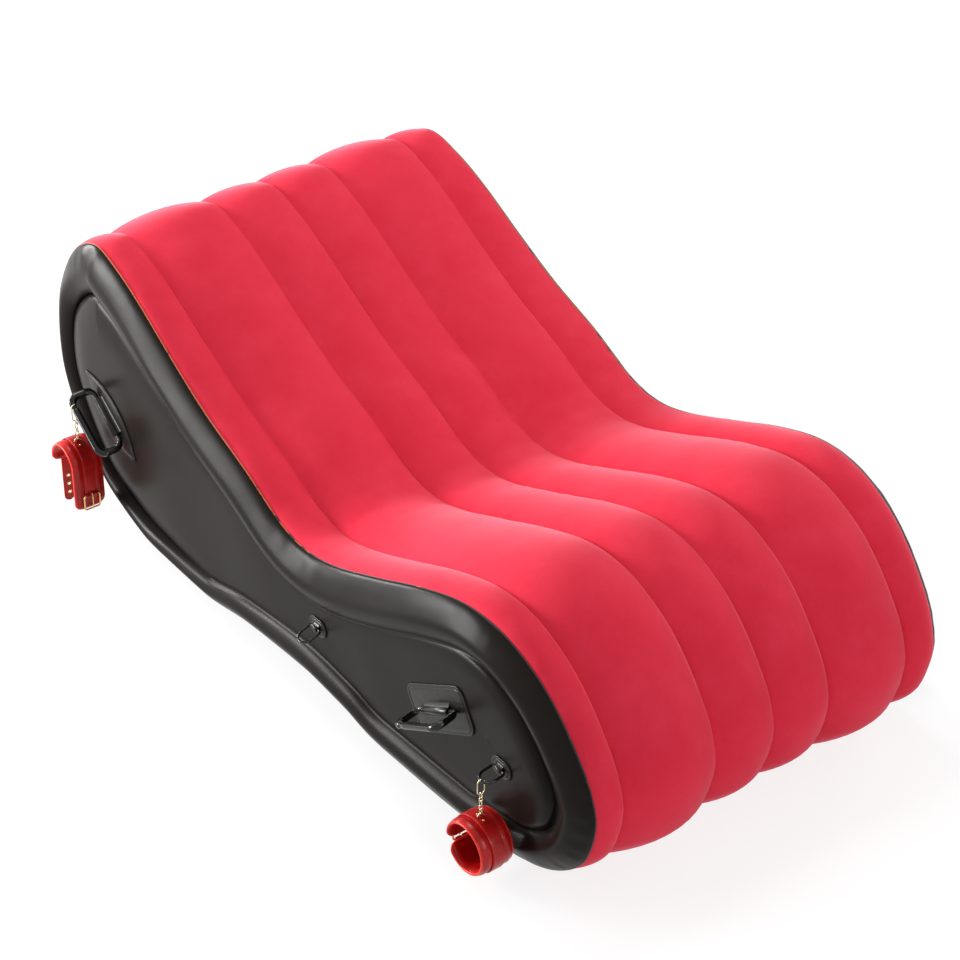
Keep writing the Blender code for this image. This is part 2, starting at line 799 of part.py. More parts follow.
def buckle_frame(origin, start, tilt):
    """Axes at a buckle's bar: u runs out along the frame, v across the strap, height away from it."""
    away = start - tilt
    out = Vector((math.cos(away), 0, math.sin(away)))
    along = Vector((math.sin(away), 0, -math.cos(away)))
    frame = Matrix((along, out.cross(along), out)).transposed().to_4x4()
    frame.translation = origin
    return frame


def buckle(label, frame, finish, carrier):
    """The buckle's frame, and its prong with an eye round the bar."""
    half_v = BUCKLE_WIDTH / 2
    corners = rounded_box(BUCKLE_HEIGHT / 2, half_v, BUCKLE_CORNER, 2)
    points = [frame @ Vector((u + BUCKLE_HEIGHT / 2, v, 0)) for u, v in corners]
    shape = bmesh.new()
    wire_loop(shape, points, frame.to_3x3() @ Vector((0, 0, 1)), BUCKLE_WIRE, 6)
    add_piece(label.format("buckle"), shape, finish, carrier, smooth=True)
    hold = pivot(label.format("prong") + "_pivot", frame.translation, carrier)
    eye = BUCKLE_WIRE + WIRE_SLACK + PRONG_WIRE
    shape = bmesh.new()
    ring = [frame @ Vector((eye * math.cos(k * math.pi / 4), 0, eye * math.sin(k * math.pi / 4))) for k in range(8)]
    wire_loop(shape, ring, frame.to_3x3() @ Vector((0, 1, 0)), PRONG_WIRE, 6)
    prong = add_piece(label.format("prong"), shape, finish, hold, smooth=True)
    shape = bmesh.new()
    ends = [frame @ Vector((u, 0, eye)) for u in (0, BUCKLE_HEIGHT + BUCKLE_WIRE)]
    rod(shape, ends[0], ends[1], PRONG_WIRE * PRONG_STEM_SHARE, 8)
    join_with(prong, add_piece(label.format("prong") + "_stem_helper", shape, None, helper=True), "UNION")


def eyelet_cutter(name, strap_path, frame):
    """Round holes along the tongue, from its tip up."""
    tip, before = Vector(strap_path[-1]), Vector(strap_path[-2])
    up = (before - tip).normalized()
    across = Vector((up.y, -up.x))
    shape = bmesh.new()
    for k in range(EYELETS):
        spot = tip + up * EYELET_PITCH * (k + 1)
        reach = PAD_THICKNESS + STRAP_THICKNESS + OVERRUN
        start, end = (frame @ Vector((*(spot + across * reach * sign), 0)) for sign in (-1, 1))
        rod(shape, start, end, EYELET_RADIUS, 8)
    return add_piece(name, shape, None, helper=True)


def cuff(label, pin, kind, finish, carrier):
    """One cuff: pad, strap, D ring, buckle and prong. The chain bears on the D ring's nose at pin."""
    top = pin - Vector((0, 0, DEE_DROP))
    frame = cuff_frame(top)
    pad_path, strap_path, start = cuff_paths(kind)
    shape = bmesh.new()
    band(shape, pad_path, 0, PAD_THICKNESS, PAD_WIDTH / 2, frame)
    add_piece(label.format("pad"), shape, finish["cuff"], carrier, smooth=True)
    shape = bmesh.new()
    low = PAD_THICKNESS + GAP
    band(shape, strap_path, low, low + STRAP_THICKNESS, STRAP_WIDTH / 2, frame)
    strap = add_piece(label.format("strap"), shape, finish["cuff"], carrier, smooth=True)
    across = Vector((0, 1, 0))
    keeper = top + Vector((0, 0, WIRE + 2 * WIRE_SLACK))
    sleeve_on(strap, label.format("keeper"), keeper, across, KEEPER_LENGTH / 2, WIRE, KEEPER_WALL, WIRE_SLACK)
    d_ring(label.format("d_ring"), pin, keeper.z, finish["steel"], carrier)
    lift = low + STRAP_THICKNESS + GAP + BUCKLE_WIRE + WIRE_SLACK
    out = Vector((math.cos(start), math.sin(start)))
    bar = Vector(strap_path[0]) + out * lift
    origin = frame @ Vector((bar.x, bar.y, 0))
    tilt = BUCKLE_HEIGHT / (2 * CUFF_RADIUS) if kind == "closed" else 0
    buckle_axes = buckle_frame(origin, start, tilt)
    fold = label.format("fold")
    sleeve_on(strap, fold, origin, across, STRAP_WIDTH / 2, BUCKLE_WIRE, KEEPER_WALL, WIRE_SLACK)
    slot = bmesh.new()
    half = PRONG_WIRE * 2
    reach = BUCKLE_WIRE * 4
    prism(slot, [(-reach, -half), (reach, -half), (reach, half), (-reach, half)], -reach, reach, buckle_axes)
    join_with(strap, add_piece(fold + "_slot_helper", slot, None, helper=True), "DIFFERENCE")
    buckle(label, buckle_axes, finish["brass"], carrier)
    if kind != "closed":
        cutter = eyelet_cutter(label.format("eyelet") + "_helper", strap_path, frame)
        join_with(strap, cutter, "DIFFERENCE")


# Valve


def valve(finish):
    """The base in the left side, its inner flap, and the cap. Returns the hole's cutter."""
    frame = patch_frame(VALVE_SHARES, 0, LEFT)
    flange = [(VALVE_BORE_RADIUS, GAP + VALVE_FLANGE), (VALVE_FLANGE_RADIUS, GAP + VALVE_FLANGE)]
    flange += [(VALVE_FLANGE_RADIUS, GAP), (VALVE_NECK_RADIUS, GAP)]
    neck = [(VALVE_NECK_RADIUS, -VALVE_NECK), (VALVE_BORE_RADIUS, -VALVE_NECK)]
    shape = bmesh.new()
    turned(shape, flange + neck, VALVE_SIDES, frame, ring_shaped=True)
    add_piece("valve_base", shape, finish["clear"], smooth=True)
    flap_radius = VALVE_BORE_RADIUS + VALVE_FLAP_OVERLAP
    hinge = frame @ Vector((0, flap_radius, -VALVE_NECK - GAP - VALVE_FLAP / 2))
    carrier = pivot("valve_flap_pivot", hinge)
    shape = bmesh.new()
    low = -VALVE_NECK - GAP - VALVE_FLAP
    turned(shape, [(flap_radius, low), (flap_radius, low + VALVE_FLAP)], VALVE_SIDES, frame)
    add_piece("valve_flap", shape, finish["clear"], carrier, smooth=True)
    seat = GAP + VALVE_FLANGE + GAP
    hinge = frame @ Vector((0, VALVE_CAP_RADIUS + VALVE_LUG, seat + VALVE_CAP / 2))
    carrier = pivot("valve_cap_pivot", hinge)
    plug = VALVE_BORE_RADIUS - VALVE_FIT
    top = seat + VALVE_CAP
    profile = [(plug, seat - VALVE_PLUG), (plug, seat), (VALVE_CAP_RADIUS, seat), (VALVE_CAP_RADIUS, top)]
    shape = bmesh.new()
    turned(shape, profile, VALVE_SIDES, frame)
    cap = add_piece("valve_cap", shape, finish["clear"], carrier, smooth=True)
    lug = bmesh.new()
    half = VALVE_LUG / 2
    reach = VALVE_CAP_RADIUS + VALVE_LUG
    outline = [(-half, half), (half, half), (half, reach), (-half, reach)]
    prism(lug, outline, seat + GAP, top - GAP, frame)
    join_with(cap, add_piece("valve_cap_lug_helper", lug, None, helper=True), "UNION")
    hole = bmesh.new()
    centre = frame @ Vector((0, 0, -OVERRUN))
    rod(hole, centre, frame @ Vector((0, 0, OVERRUN)), VALVE_NECK_RADIUS + VALVE_FIT, VALVE_SIDES)
    return add_piece("valve_hole_cutter", hole, None, helper=True)


def finishes():
    return {
        "flock": material("red_flocked_pvc", (0.62, 0.03, 0.07), 0.9),
        "black": material("black_pvc_sheet", (0.04, 0.036, 0.033), 0.45),
        "web": material("clear_web_pvc", (0.3, 0.3, 0.3), 0.5),
        "patch": material("black_pvc_patch", (0.03, 0.028, 0.027), 0.3),
        "grip": material("black_moulded_grip", (0.008, 0.008, 0.009), 0.15),
        "cuff": material("red_glossy_leatherette", (0.55, 0.012, 0.012), 0.25),
        "steel": material("plated_steel_wire", (0.66, 0.6, 0.5), 0.25, 1.0),
        "brass": material("pale_gold_buckle", (0.75, 0.58, 0.33), 0.25, 1.0),
        "clear": material("clear_valve_plastic", (0.12, 0.12, 0.12), 0.35),
    }


def build_body(finish):
    points = fine_outline()
    foot, head = FOOT_SEAM_POINT * CURVE_STEPS, HEAD_SEAM_POINT * CURVE_STEPS
    top = stations_between(points, foot, head, TOP_STATIONS - 1)
    floor = stations_between(points, head, foot, FLOOR_STATIONS)
    every = top + floor[1:-1]
    top_panel(top, finish["flock"])
    bottom_panel(floor, finish["black"])
    right = side_panel(every, RIGHT, finish["black"])
    left = side_panel(every, LEFT, finish["black"])
    cutter = web_cutter()
    for number, share in enumerate(RIB_SEAM_SHARES, 1):
        web(number, share, every, cutter, finish["web"])
    join_with(left, valve(finish), "DIFFERENCE")
    return right, left


def build_fittings(finish):
    mesh, end = chain_mesh()
    for side in (RIGHT, LEFT):
        label = SIDE_NAMES[side]
        grip_station("foot", side, finish)
        ring_station("waist", side, finish)
        head = grip_station("head", side, finish)
        foot = ring_station("foot", side, finish)
        hangs = (("head", head, GRIP_WIRE, HEAD_PATCH_TILT), ("foot", foot, RING_WIRE, 0))
        for place, (carrier, hang), bar_wire, bar_tilt in hangs:
            kind = "arch" if place == "head" else FOOT_CUFF_KINDS[side]
            carrier, low = hook(f"{place}_hook_{label}", hang, bar_wire, bar_tilt, carrier, finish["steel"])
            carrier = chain(f"{place}_chain_{label}", low, mesh, finish["steel"], carrier)
            pin = low + Vector((0, 0, end + 2 * WIRE + WIRE_SLACK))
            carrier = pivot(f"{place}_cuff_{label}_pivot", pin, carrier)
            cuff(f"{place}_cuff_{{}}_{label}", pin, kind, finish, carrier)


def main():
    clear_scene()
    finish = finishes()
    build_body(finish)
    build_fittings(finish)


main()
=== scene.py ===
# %% [markdown]
# # An inflatable sofa bed
# This file dresses a long, wavy air lounger: a red flocked seat over six ribs, black side sheets with moulded
# grips and rings, and padded strap cuffs on short chains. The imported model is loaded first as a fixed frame.
# Every piece made below moves with one of its bodies, and most take the place of one of its nodes.

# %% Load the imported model
import json
import math

import bmesh
import bpy
from mathutils import Matrix, Quaternion, Vector, noise

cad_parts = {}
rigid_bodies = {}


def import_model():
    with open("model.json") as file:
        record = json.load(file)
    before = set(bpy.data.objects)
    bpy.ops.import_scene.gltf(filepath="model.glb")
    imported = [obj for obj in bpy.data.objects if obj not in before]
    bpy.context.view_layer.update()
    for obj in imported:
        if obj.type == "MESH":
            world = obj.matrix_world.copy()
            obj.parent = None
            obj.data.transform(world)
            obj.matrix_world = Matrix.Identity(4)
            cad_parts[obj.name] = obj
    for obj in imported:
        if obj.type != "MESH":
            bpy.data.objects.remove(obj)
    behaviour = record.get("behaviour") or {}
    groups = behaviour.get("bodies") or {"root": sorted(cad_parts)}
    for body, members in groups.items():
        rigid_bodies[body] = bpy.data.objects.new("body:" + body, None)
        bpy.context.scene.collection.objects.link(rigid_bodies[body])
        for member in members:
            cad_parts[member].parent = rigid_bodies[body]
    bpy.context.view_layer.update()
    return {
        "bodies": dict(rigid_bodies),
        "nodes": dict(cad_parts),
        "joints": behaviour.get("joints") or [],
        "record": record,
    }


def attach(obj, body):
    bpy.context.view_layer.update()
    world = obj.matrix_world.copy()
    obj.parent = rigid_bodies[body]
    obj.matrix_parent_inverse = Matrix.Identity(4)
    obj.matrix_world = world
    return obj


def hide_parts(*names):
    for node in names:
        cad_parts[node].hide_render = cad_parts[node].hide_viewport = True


for item in list(bpy.data.objects):
    bpy.data.objects.remove(item, do_unlink=True)
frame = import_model()
joints = {joint["name"]: joint for joint in frame["joints"]}

# %% [markdown]
# ## The camera
# The photograph looks down at the near side and the low foot end. A long lens keeps the far edges nearly
# parallel. The camera's place was worked out from the outline of the lounger.

# %% Camera
LENS = 99.24
SENSOR = 36
EYE = Vector((2.8949, -2.2482, 2.7942))
TURN, RISE, ROLL = math.radians(51.99), math.radians(34.94), math.radians(0.71)
back = Vector((math.sin(TURN) * math.cos(RISE), -math.cos(TURN) * math.cos(RISE), math.sin(RISE)))
camera = bpy.data.objects.new("camera", bpy.data.cameras.new("camera"))
bpy.context.scene.collection.objects.link(camera)
camera.location = EYE
camera.rotation_mode = "QUATERNION"
camera.rotation_quaternion = (-back).to_track_quat("-Z", "Y") @ Quaternion((0, 0, 1), ROLL)
camera.data.lens = LENS
camera.data.sensor_width = SENSOR
camera.data.clip_end = 60
bpy.context.scene.camera = camera
print("camera looks along", [round(v, 3) for v in -back])

# %% [markdown]
# ## Two small tools for materials
# Colours are written as on a paint chart, as sRGB hex values, and a shader wants linear ones. Every node below is
# added by one function, which sets its values and joins its links.

# %% Colours and nodes
def ink(code):
    """An sRGB hex colour as linear red, green, blue and alpha."""
    parts = [int(code[i:i + 2], 16) / 255 for i in (1, 3, 5)]
    return (*[c / 12.92 if c <= 0.04045 else ((c + 0.055) / 1.055) ** 2.4 for c in parts], 1.0)


def node(tree, kind, settings=None, links=None):
    """Adds a shader node. Settings are its inputs or its properties, and links join other sockets to its inputs."""
    made = tree.nodes.new("ShaderNode" + kind)
    for key, value in (settings or {}).items():
        if isinstance(key, int) or key in made.inputs:
            made.inputs[key].default_value = value
        else:
            setattr(made, key, value)
    for key, source in (links or {}).items():
        tree.links.new(source, made.inputs[key])
    return made


def finish(name, settings):
    """A material with one Principled shader. Returns both."""
    made = bpy.data.materials.new(name)
    made.use_nodes = True
    shader = made.node_tree.nodes["Principled BSDF"]
    for key, value in settings.items():
        shader.inputs[key].default_value = value
    return made, shader


def pattern(shader, kind, settings, output="Fac"):
    """A pattern laid over a piece in its own space, so its scale is real. Returns the value that changes over it."""
    tree = shader.id_data
    spots = node(tree, "TexCoord")
    return node(tree, kind, settings, {"Vector": spots.outputs["Object"]}).outputs[output]


def ramp(shader, value, *rows):
    """A colour that follows a value through stops of (place, hex colour)."""
    made = node(shader.id_data, "ValToRGB", None, {"Fac": value})
    points = made.color_ramp.elements
    while len(points) < len(rows):
        points.new(0.5)
    for point, (place, colour) in zip(points, rows):
        point.position = place
        point.color = ink(colour)
    return made.outputs["Color"]


def drive(shader, socket, source):
    shader.id_data.links.new(source, shader.inputs[socket])


def tinted(shader, value, *rows):
    drive(shader, "Base Color", ramp(shader, value, *rows))


def polished(shader, value, low, high, start=0.0, end=1.0):
    """Takes the roughness from low to high while a value goes from start to end."""
    settings = {"From Min": start, "From Max": end, "To Min": low, "To Max": high}
    drive(shader, "Roughness", node(shader.id_data, "MapRange", settings, {"Value": value}).outputs["Result"])


def embossed(shader, value, strength, depth):
    """Presses a value into the surface, with the depth in metres."""
    bump = node(shader.id_data, "Bump", {"Strength": strength, "Distance": depth}, {"Height": value})
    drive(shader, "Normal", bump.outputs["Normal"])

# %% [markdown]
# ## Flocked PVC
# The seat sheet is PVC film sprayed with short nylon fibres, called flock. Flock scatters light in every
# direction, so it has almost no shine, but its fibre tips catch light at the edges of each rib. Sheen gives that.
# Stroking the pile one way or the other leaves soft lighter and darker clouds, about a hand wide.

# %% Flock material
flock, shader = finish("red_flocked_pvc", {
    "Roughness": 0.92, "IOR": 1.47, "Specular IOR Level": 0.15,
    "Sheen Weight": 0.8, "Sheen Roughness": 0.36, "Sheen Tint": ink("#FFA0B0"),
})
clouds = pattern(shader, "TexNoise", {"Scale": 14.0, "Detail": 6.0, "Roughness": 0.65})
shade = ramp(shader, clouds, (0.30, "#D82A3F"), (0.55, "#DC3045"), (0.75, "#E0364B"))
# Flock fibres are about 0.02 mm thick. They are drawn as 1.5 mm grains, which still show in the picture.
pile = pattern(shader, "TexNoise", {"Scale": 650.0, "Detail": 2.0, "Roughness": 0.7})
speck = node(shader.id_data, "MixRGB", {"blend_type": "SOFT_LIGHT", "Fac": 0.22}, {"Color1": shade, "Color2": pile})
drive(shader, "Base Color", speck.outputs["Color"])
embossed(shader, pile, 0.25, 0.0006)
print("made", flock.name)

# %% [markdown]
# ## Black PVC sheet
# The sides and the bottom are calendered PVC film: satin black, with a very fine leather grain pressed into it.
# The grain breaks up the highlight, and a slow change in roughness keeps it alive. The sides stand upright over a
# white floor and mirror it, so their specular level is low. Otherwise they would turn grey.

# %% Black sheet material
black_sheet, shader = finish("black_pvc_sheet", {"Base Color": ink("#16120F"), "IOR": 1.53, "Specular IOR Level": 0.08})
polished(shader, pattern(shader, "TexNoise", {"Scale": 9.0, "Detail": 3.0}), 0.28, 0.37, 0.3, 0.7)
# The pressed grain is about 0.6 mm across. It is drawn at 2 mm so that it shows.
pressed = {"Scale": 500.0, "feature": "SMOOTH_F1", "Smoothness": 0.6}
embossed(shader, pattern(shader, "TexVoronoi", pressed, "Distance"), 0.12, 0.0004)
print("made", black_sheet.name)

# %% [markdown]
# ## The other finishes
# Patches are the same PVC but thicker, with a glossy skin. Grips and rings are injection-moulded ABS with a
# polished face. The cuffs are red leatherette with a lacquered top coat. The chains and rings are plated steel
# wire, slightly warm, and the buckles are pale gold plate. Metals keep the default IOR.

# %% Patches and grips
patch_pvc, shader = finish("black_pvc_patch", {
    "Base Color": ink("#171412"), "IOR": 1.53, "Specular IOR Level": 0.12, "Coat Weight": 0.2, "Coat Roughness": 0.12,
})
dapple = pattern(shader, "TexNoise", {"Scale": 60.0, "Detail": 3.0})
polished(shader, dapple, 0.24, 0.4)
embossed(shader, dapple, 0.45, 0.0015)

grip_abs, shader = finish("black_moulded_grip", {
    "Base Color": ink("#0A0A0A"), "IOR": 1.54, "Specular IOR Level": 0.2, "Coat Weight": 0.3, "Coat Roughness": 0.05,
})
polished(shader, pattern(shader, "TexNoise", {"Scale": 120.0, "Detail": 4.0}), 0.1, 0.22, 0.35, 0.75)
print("materials", len(bpy.data.materials))

# %% Leatherette, piping and thread
leatherette, shader = finish("red_glossy_leatherette", {
    "IOR": 1.5, "Specular IOR Level": 0.2, "Coat Weight": 0.18, "Coat Roughness": 0.1, "Coat IOR": 1.5,
})
tone = pattern(shader, "TexNoise", {"Scale": 45.0, "Detail": 3.0})
tinted(shader, tone, (0.3, "#9E0C0A"), (0.7, "#BC130F"))
polished(shader, tone, 0.26, 0.42)
# Leather grain is about 0.8 mm across, drawn at 1.5 mm.
pores = {"Scale": 700.0, "feature": "SMOOTH_F1", "Smoothness": 0.5}
embossed(shader, pattern(shader, "TexVoronoi", pores, "Distance"), 0.2, 0.0004)

# The piping and the thread are the leatherette's own red, one a little lighter and one duller.
piping_red, shader = finish("red_piping", {
    "IOR": 1.5, "Specular IOR Level": 0.25, "Coat Weight": 0.15, "Coat Roughness": 0.12,
})
tone = pattern(shader, "TexNoise", {"Scale": 90.0, "Detail": 2.0})
tinted(shader, tone, (0.3, "#C8180E"), (0.7, "#E62A18"))
polished(shader, tone, 0.28, 0.42)

thread_red, shader = finish("red_thread", {"Roughness": 0.7, "Sheen Weight": 0.2})
twist = pattern(shader, "TexWave", {"Scale": 900.0, "Distortion": 1.0})
tinted(shader, twist, (0.2, "#8E120E"), (0.8, "#C43A30"))
print("materials", len(bpy.data.materials))

# %% Plated wires
def plated(name, bright, dull):
    """A plated wire: metal with faint drawing marks and handling haze."""
    made, shader = finish(name, {"Metallic": 1.0})
    haze = pattern(shader, "TexNoise", {"Scale": 300.0, "Detail": 4.0})
    tinted(shader, haze, (0.35, dull), (0.65, bright))
    polished(shader, haze, 0.16, 0.34)
    return made


steel_wire = plated("plated_steel_wire", "#E2D3B2", "#B9A582")
gold_plate = plated("pale_gold_buckle", "#E3C48C", "#BD9A5E")
print("materials", len(bpy.data.materials))

# %% Valve, webs and the cut edge
valve_pvc, shader = finish("clear_valve_plastic", {
    "Base Color": ink("#3A3A3C"), "IOR": 1.5, "Transmission Weight": 0.15,
})
polished(shader, pattern(shader, "TexNoise", {"Scale": 150.0, "Detail": 2.0}), 0.28, 0.42)

web_pvc, shader = finish("clear_web_pvc", {"IOR": 1.5, "Transmission Weight": 0.2})
tinted(shader, pattern(shader, "TexNoise", {"Scale": 12.0, "Detail": 3.0}), (0.3, "#8C8C8C"), (0.7, "#A2A2A2"))

# The weld bead is the cut edge of both sheets. Its orange is painted glow, light shining through the red film at the
# seam, laid in patches and stronger towards the head. The rest of the bead is black.
weld, shader = finish("weld_edge_painted_glow", {"IOR": 1.5, "Roughness": 0.45})
tree = shader.id_data
# Patches of painted orange glow, raised towards the head and lowered towards the foot
glow_patches = pattern(shader, "TexNoise", {"Scale": 38.0, "Detail": 3.0})
parts = node(tree, "SeparateXYZ", None, {"Vector": node(tree, "TexCoord").outputs["Object"]})
toward_foot = {"From Min": -0.25, "From Max": 0.15, "To Min": 0.22, "To Max": -0.12}
lean = node(tree, "MapRange", toward_foot, {"Value": parts.outputs["X"]})
mixed = node(tree, "Math", {"operation": "ADD"}, {0: glow_patches, 1: lean.outputs["Result"]})
tinted(shader, mixed.outputs["Value"], (0.52, "#171412"), (0.60, "#A8502A"))
print("materials", len(bpy.data.materials))

# %% [markdown]
# ## The outline
# Seen from the side, the lounger is one closed curve: high at the head, dipped at the waist and round at the foot.
# It is kept as a short table of points, with the width of the edge tube at each, and a smooth curve runs through
# them. All four skins follow this curve, so their seams meet.

# %% Outline
LENGTH, WIDTH, HEIGHT = 1.49, 0.737, 0.535
END_DRAW = 0.0212
TUBE_WIDTH = 0.085
STEPS = 10
OUTLINE = (
    (0.327, 0.000, 0.90), (0.401, 0.022, 0.90), (0.448, 0.075, 0.86), (0.485, 0.178, 0.84), (0.500, 0.323, 0.84),
    (0.493, 0.430, 0.84), (0.475, 0.520, 0.84), (0.444, 0.626, 0.86), (0.408, 0.707, 0.88), (0.357, 0.766, 0.90),
    (0.300, 0.770, 0.92), (0.233, 0.714, 0.96), (0.156, 0.622, 1.00), (0.082, 0.540, 1.00), (0.028, 0.510, 1.00),
    (-0.022, 0.533, 1.00), (-0.089, 0.622, 1.00), (-0.166, 0.707, 1.00), (-0.233, 0.804, 1.02), (-0.297, 0.905, 1.06),
    (-0.351, 0.972, 1.10), (-0.401, 1.000, 1.10), (-0.451, 0.925, 1.00), (-0.488, 0.785, 0.80), (-0.500, 0.626, 0.62),
    (-0.497, 0.458, 0.56), (-0.473, 0.308, 0.54), (-0.435, 0.178, 0.52), (-0.391, 0.079, 0.52), (-0.317, 0.015, 0.52),
    (-0.264, 0.000, 0.54), (-0.163, 0.000, 0.62), (-0.082, 0.034, 0.74), (0.028, 0.052, 0.84), (0.106, 0.034, 0.86),
    (0.173, 0.000, 0.88),
)
FOOT_SEAM, HEAD_SEAM = 1 * STEPS, 28 * STEPS
SPINE = ((-0.37, 0.50), (-0.27, 0.43), (-0.13, 0.345), (0.024, 0.295), (0.17, 0.34), (0.35, 0.40))


def along_curve(a, b, c, d, t):
    """A smooth curve through b and c."""
    return (2 * b + (c - a) * t + (2 * a - 5 * b + 4 * c - d) * t * t + (3 * b - a - 3 * c + d) * t**3) / 2


rim, tube = [], []
for i in range(len(OUTLINE)):
    rows = [OUTLINE[(i + k) % len(OUTLINE)] for k in (-1, 0, 1, 2)]
    for k in range(STEPS):
        x, z, share = (along_curve(*column, k / STEPS) for column in zip(*rows))
        rim.append(Vector((x * LENGTH, 0, max(z, 0) * HEIGHT)))
        tube.append(share * TUBE_WIDTH)
COUNT = len(rim)
outward = []
for i in range(COUNT):
    ahead = (rim[(i + 1) % COUNT] - rim[i - 1]).normalized()
    outward.append(Vector((ahead.z, 0, -ahead.x)))
travel = [0.0]
for i in range(1, COUNT + 1):
    travel.append(travel[-1] + (rim[i % COUNT] - rim[i - 1]).length)
print("outline points", COUNT, "length round", round(travel[-1], 3))

# %% [markdown]
# ## A sheet is a bent grid
# An inflated skin is easiest to control as a flat grid whose vertices are moved to where the air pushes them.
# One operator makes the grid and its faces, and a rule that is given the row and column numbers bends it.

# %% Bent grid
def half_width(x):
    """Half the body's width at the seams. The ends are drawn in a little."""
    return WIDTH / 2 - END_DRAW * (2 * x / LENGTH) ** 2


def ease(t):
    """0 up to t = 0, 1 from t = 1 on, and smooth between them."""
    t = min(max(t, 0.0), 1.0)
    return t * t * (3 - 2 * t)


def wander(*spot):
    """Smooth noise at a place, about -1 to 1."""
    return noise.noise(Vector(spot))


def bent_grid(along, across, rule, cap=False):
    """A grid of along by across cells, bent by rule(row, column). Edges that meet are welded."""
    shape = bmesh.new()
    bmesh.ops.create_grid(shape, x_segments=along, y_segments=across, size=1)
    low = min(v.co.x for v in shape.verts)
    high = max(v.co.x for v in shape.verts)
    laid = shape.loops.layers.uv.new("laid_flat")
    for face in shape.faces:
        for loop in face.loops:
            co = loop.vert.co
            loop[laid].uv = ((co.x - low) / (high - low), (co.y - low) / (high - low))
    for vert in shape.verts:
        i = round((vert.co.x - low) / (high - low) * along)
        j = round((vert.co.y - low) / (high - low) * across)
        vert.co = rule(i, j)
    bmesh.ops.remove_doubles(shape, verts=shape.verts, dist=1e-6)
    if cap:
        bmesh.ops.holes_fill(shape, edges=[e for e in shape.edges if e.is_boundary], sides=0)
    bmesh.ops.recalc_face_normals(shape, faces=shape.faces)
    return shape


def piece(name, shape, material, body, *nodes, sharp=40):
    """Turns a bmesh into a piece that rides on a body and stands for CAD nodes."""
    mesh = bpy.data.meshes.new(name)
    shape.to_mesh(mesh)
    shape.free()
    mesh.materials.append(material)
    mesh.shade_smooth()
    mesh.set_sharp_from_angle(angle=math.radians(sharp))
    made = bpy.data.objects.new(name, mesh)
    bpy.context.scene.collection.objects.link(made)
    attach(made, body)
    if nodes:
        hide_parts(*nodes)
    return made


def film(made, thickness, offset=-1):
    """Gives a sheet its film's thickness: on the inside, or with offset 0 on both sides."""
    wall = made.modifiers.new("film", "SOLIDIFY")
    wall.thickness = thickness
    wall.offset = offset


# %% [markdown]
# ## The seat sheet
# Five webs inside tie the seat sheet down, so it stands up between them as six round ribs. Each rib is a low arch
# across, steep beside the seams. Near a seam the film gathers into tiny puckers, and at the waist, where the seat
# bends the hollow way, the spare film lies in shallow folds. All of it is added to the grid's height.

# %% Ribs
RIB_SEAMS = (-1.0, -0.80, -0.31, 0.01, 0.32, 0.77, 1.0)
RIB_CELLS = 14
CROWN = 0.1375
# How full the ribs stand along the seat, as (row of the outline table, share): full at the foot, flat at the head
FULLNESS = ((0, 1.15), (6, 1.15), (11, 1.0), (14, 0.85), (17, 0.72), (21, 0.62), (24, 0.8), (28, 1.0))


def rib_place(j):
    """A column's share of the half width, and its rib's height there."""
    rib, k = divmod(j, RIB_CELLS)
    if rib == len(RIB_SEAMS) - 1:
        rib, k = rib - 1, RIB_CELLS
    left, right = RIB_SEAMS[rib], RIB_SEAMS[rib + 1]
    t = -math.cos(math.pi * k / RIB_CELLS)
    arch = max(1 - t * t, 0) ** 0.8
    return left + (right - left) * (t + 1) / 2, (right - left) * WIDTH / 2 * CROWN * arch


def fullness(k):
    row = k / STEPS
    for (a, low), (b, high) in zip(FULLNESS, FULLNESS[1:]):
        if row <= b:
            return low + (high - low) * ease((row - a) / (b - a))
    return FULLNESS[-1][1]


print("widest rib", round(max(b - a for a, b in zip(RIB_SEAMS, RIB_SEAMS[1:])) * WIDTH / 2, 3))

# %% Seat sheet
SEAM_GAP = 0.00015
WAIST = travel[15 * STEPS]


def seat_point(i, j):
    share, arch = rib_place(j)
    k = FOOT_SEAM + i
    place, out, run = rim[k], outward[k], travel[k]
    outer_rib = RIB_SEAMS[-2] if share > 0 else -RIB_SEAMS[1]
    inner, edge = outer_rib * WIDTH / 2, half_width(place.x) - SEAM_GAP
    y = share * WIDTH / 2
    if abs(share) > outer_rib:
        y = math.copysign(inner + (edge - inner) * (abs(share) - outer_rib) / (1 - outer_rib), share)
    fade = min(place.z / 0.11, 1.0)
    near = min(abs(share - seam) for seam in RIB_SEAMS) * WIDTH / 2
    pucker = wander(run / 0.022, share * 9, 3.1) * 0.0012 * math.exp(-((near - 0.006) / 0.009) ** 2)
    broad = wander(place.x * 5, y * 7, place.z * 5) * 0.0022
    folds = wander(run / 0.035, y * 5, 8.4) * 0.0022 * math.exp(-((run - WAIST) / 0.13) ** 2)
    height = fade * (arch * fullness(k) + (pucker + broad + folds) * min(near / 0.004, 1.0))
    return Vector((place.x, y, place.z)) + out * height


shape = bent_grid(HEAD_SEAM - FOOT_SEAM, RIB_CELLS * (len(RIB_SEAMS) - 1), seat_point)
seat = piece("seat_sheet", shape, flock, "bed", "top_panel", sharp=80)
film(seat, 0.0012)
print("seat faces", len(seat.data.polygons))

# %% [markdown]
# ## The floor sheet
# The bottom is a plain black sheet that closes the body underneath. Air pushes it almost flat against the floor,
# so it is the same kind of grid with very little height to it.

# %% Floor sheet
FLOOR_CELLS = 12


def floor_point(i, j):
    k = (HEAD_SEAM + i) % COUNT
    place, out = rim[k], outward[k]
    share = j / FLOOR_CELLS * 2 - 1
    y = share * (half_width(place.x) - SEAM_GAP)
    lift = 0.0012 * wander(place.x * 9, y * 9, 1.7) * (1 - abs(share)) if place.z > 0.004 else 0
    return Vector((place.x, y, place.z)) + out * lift


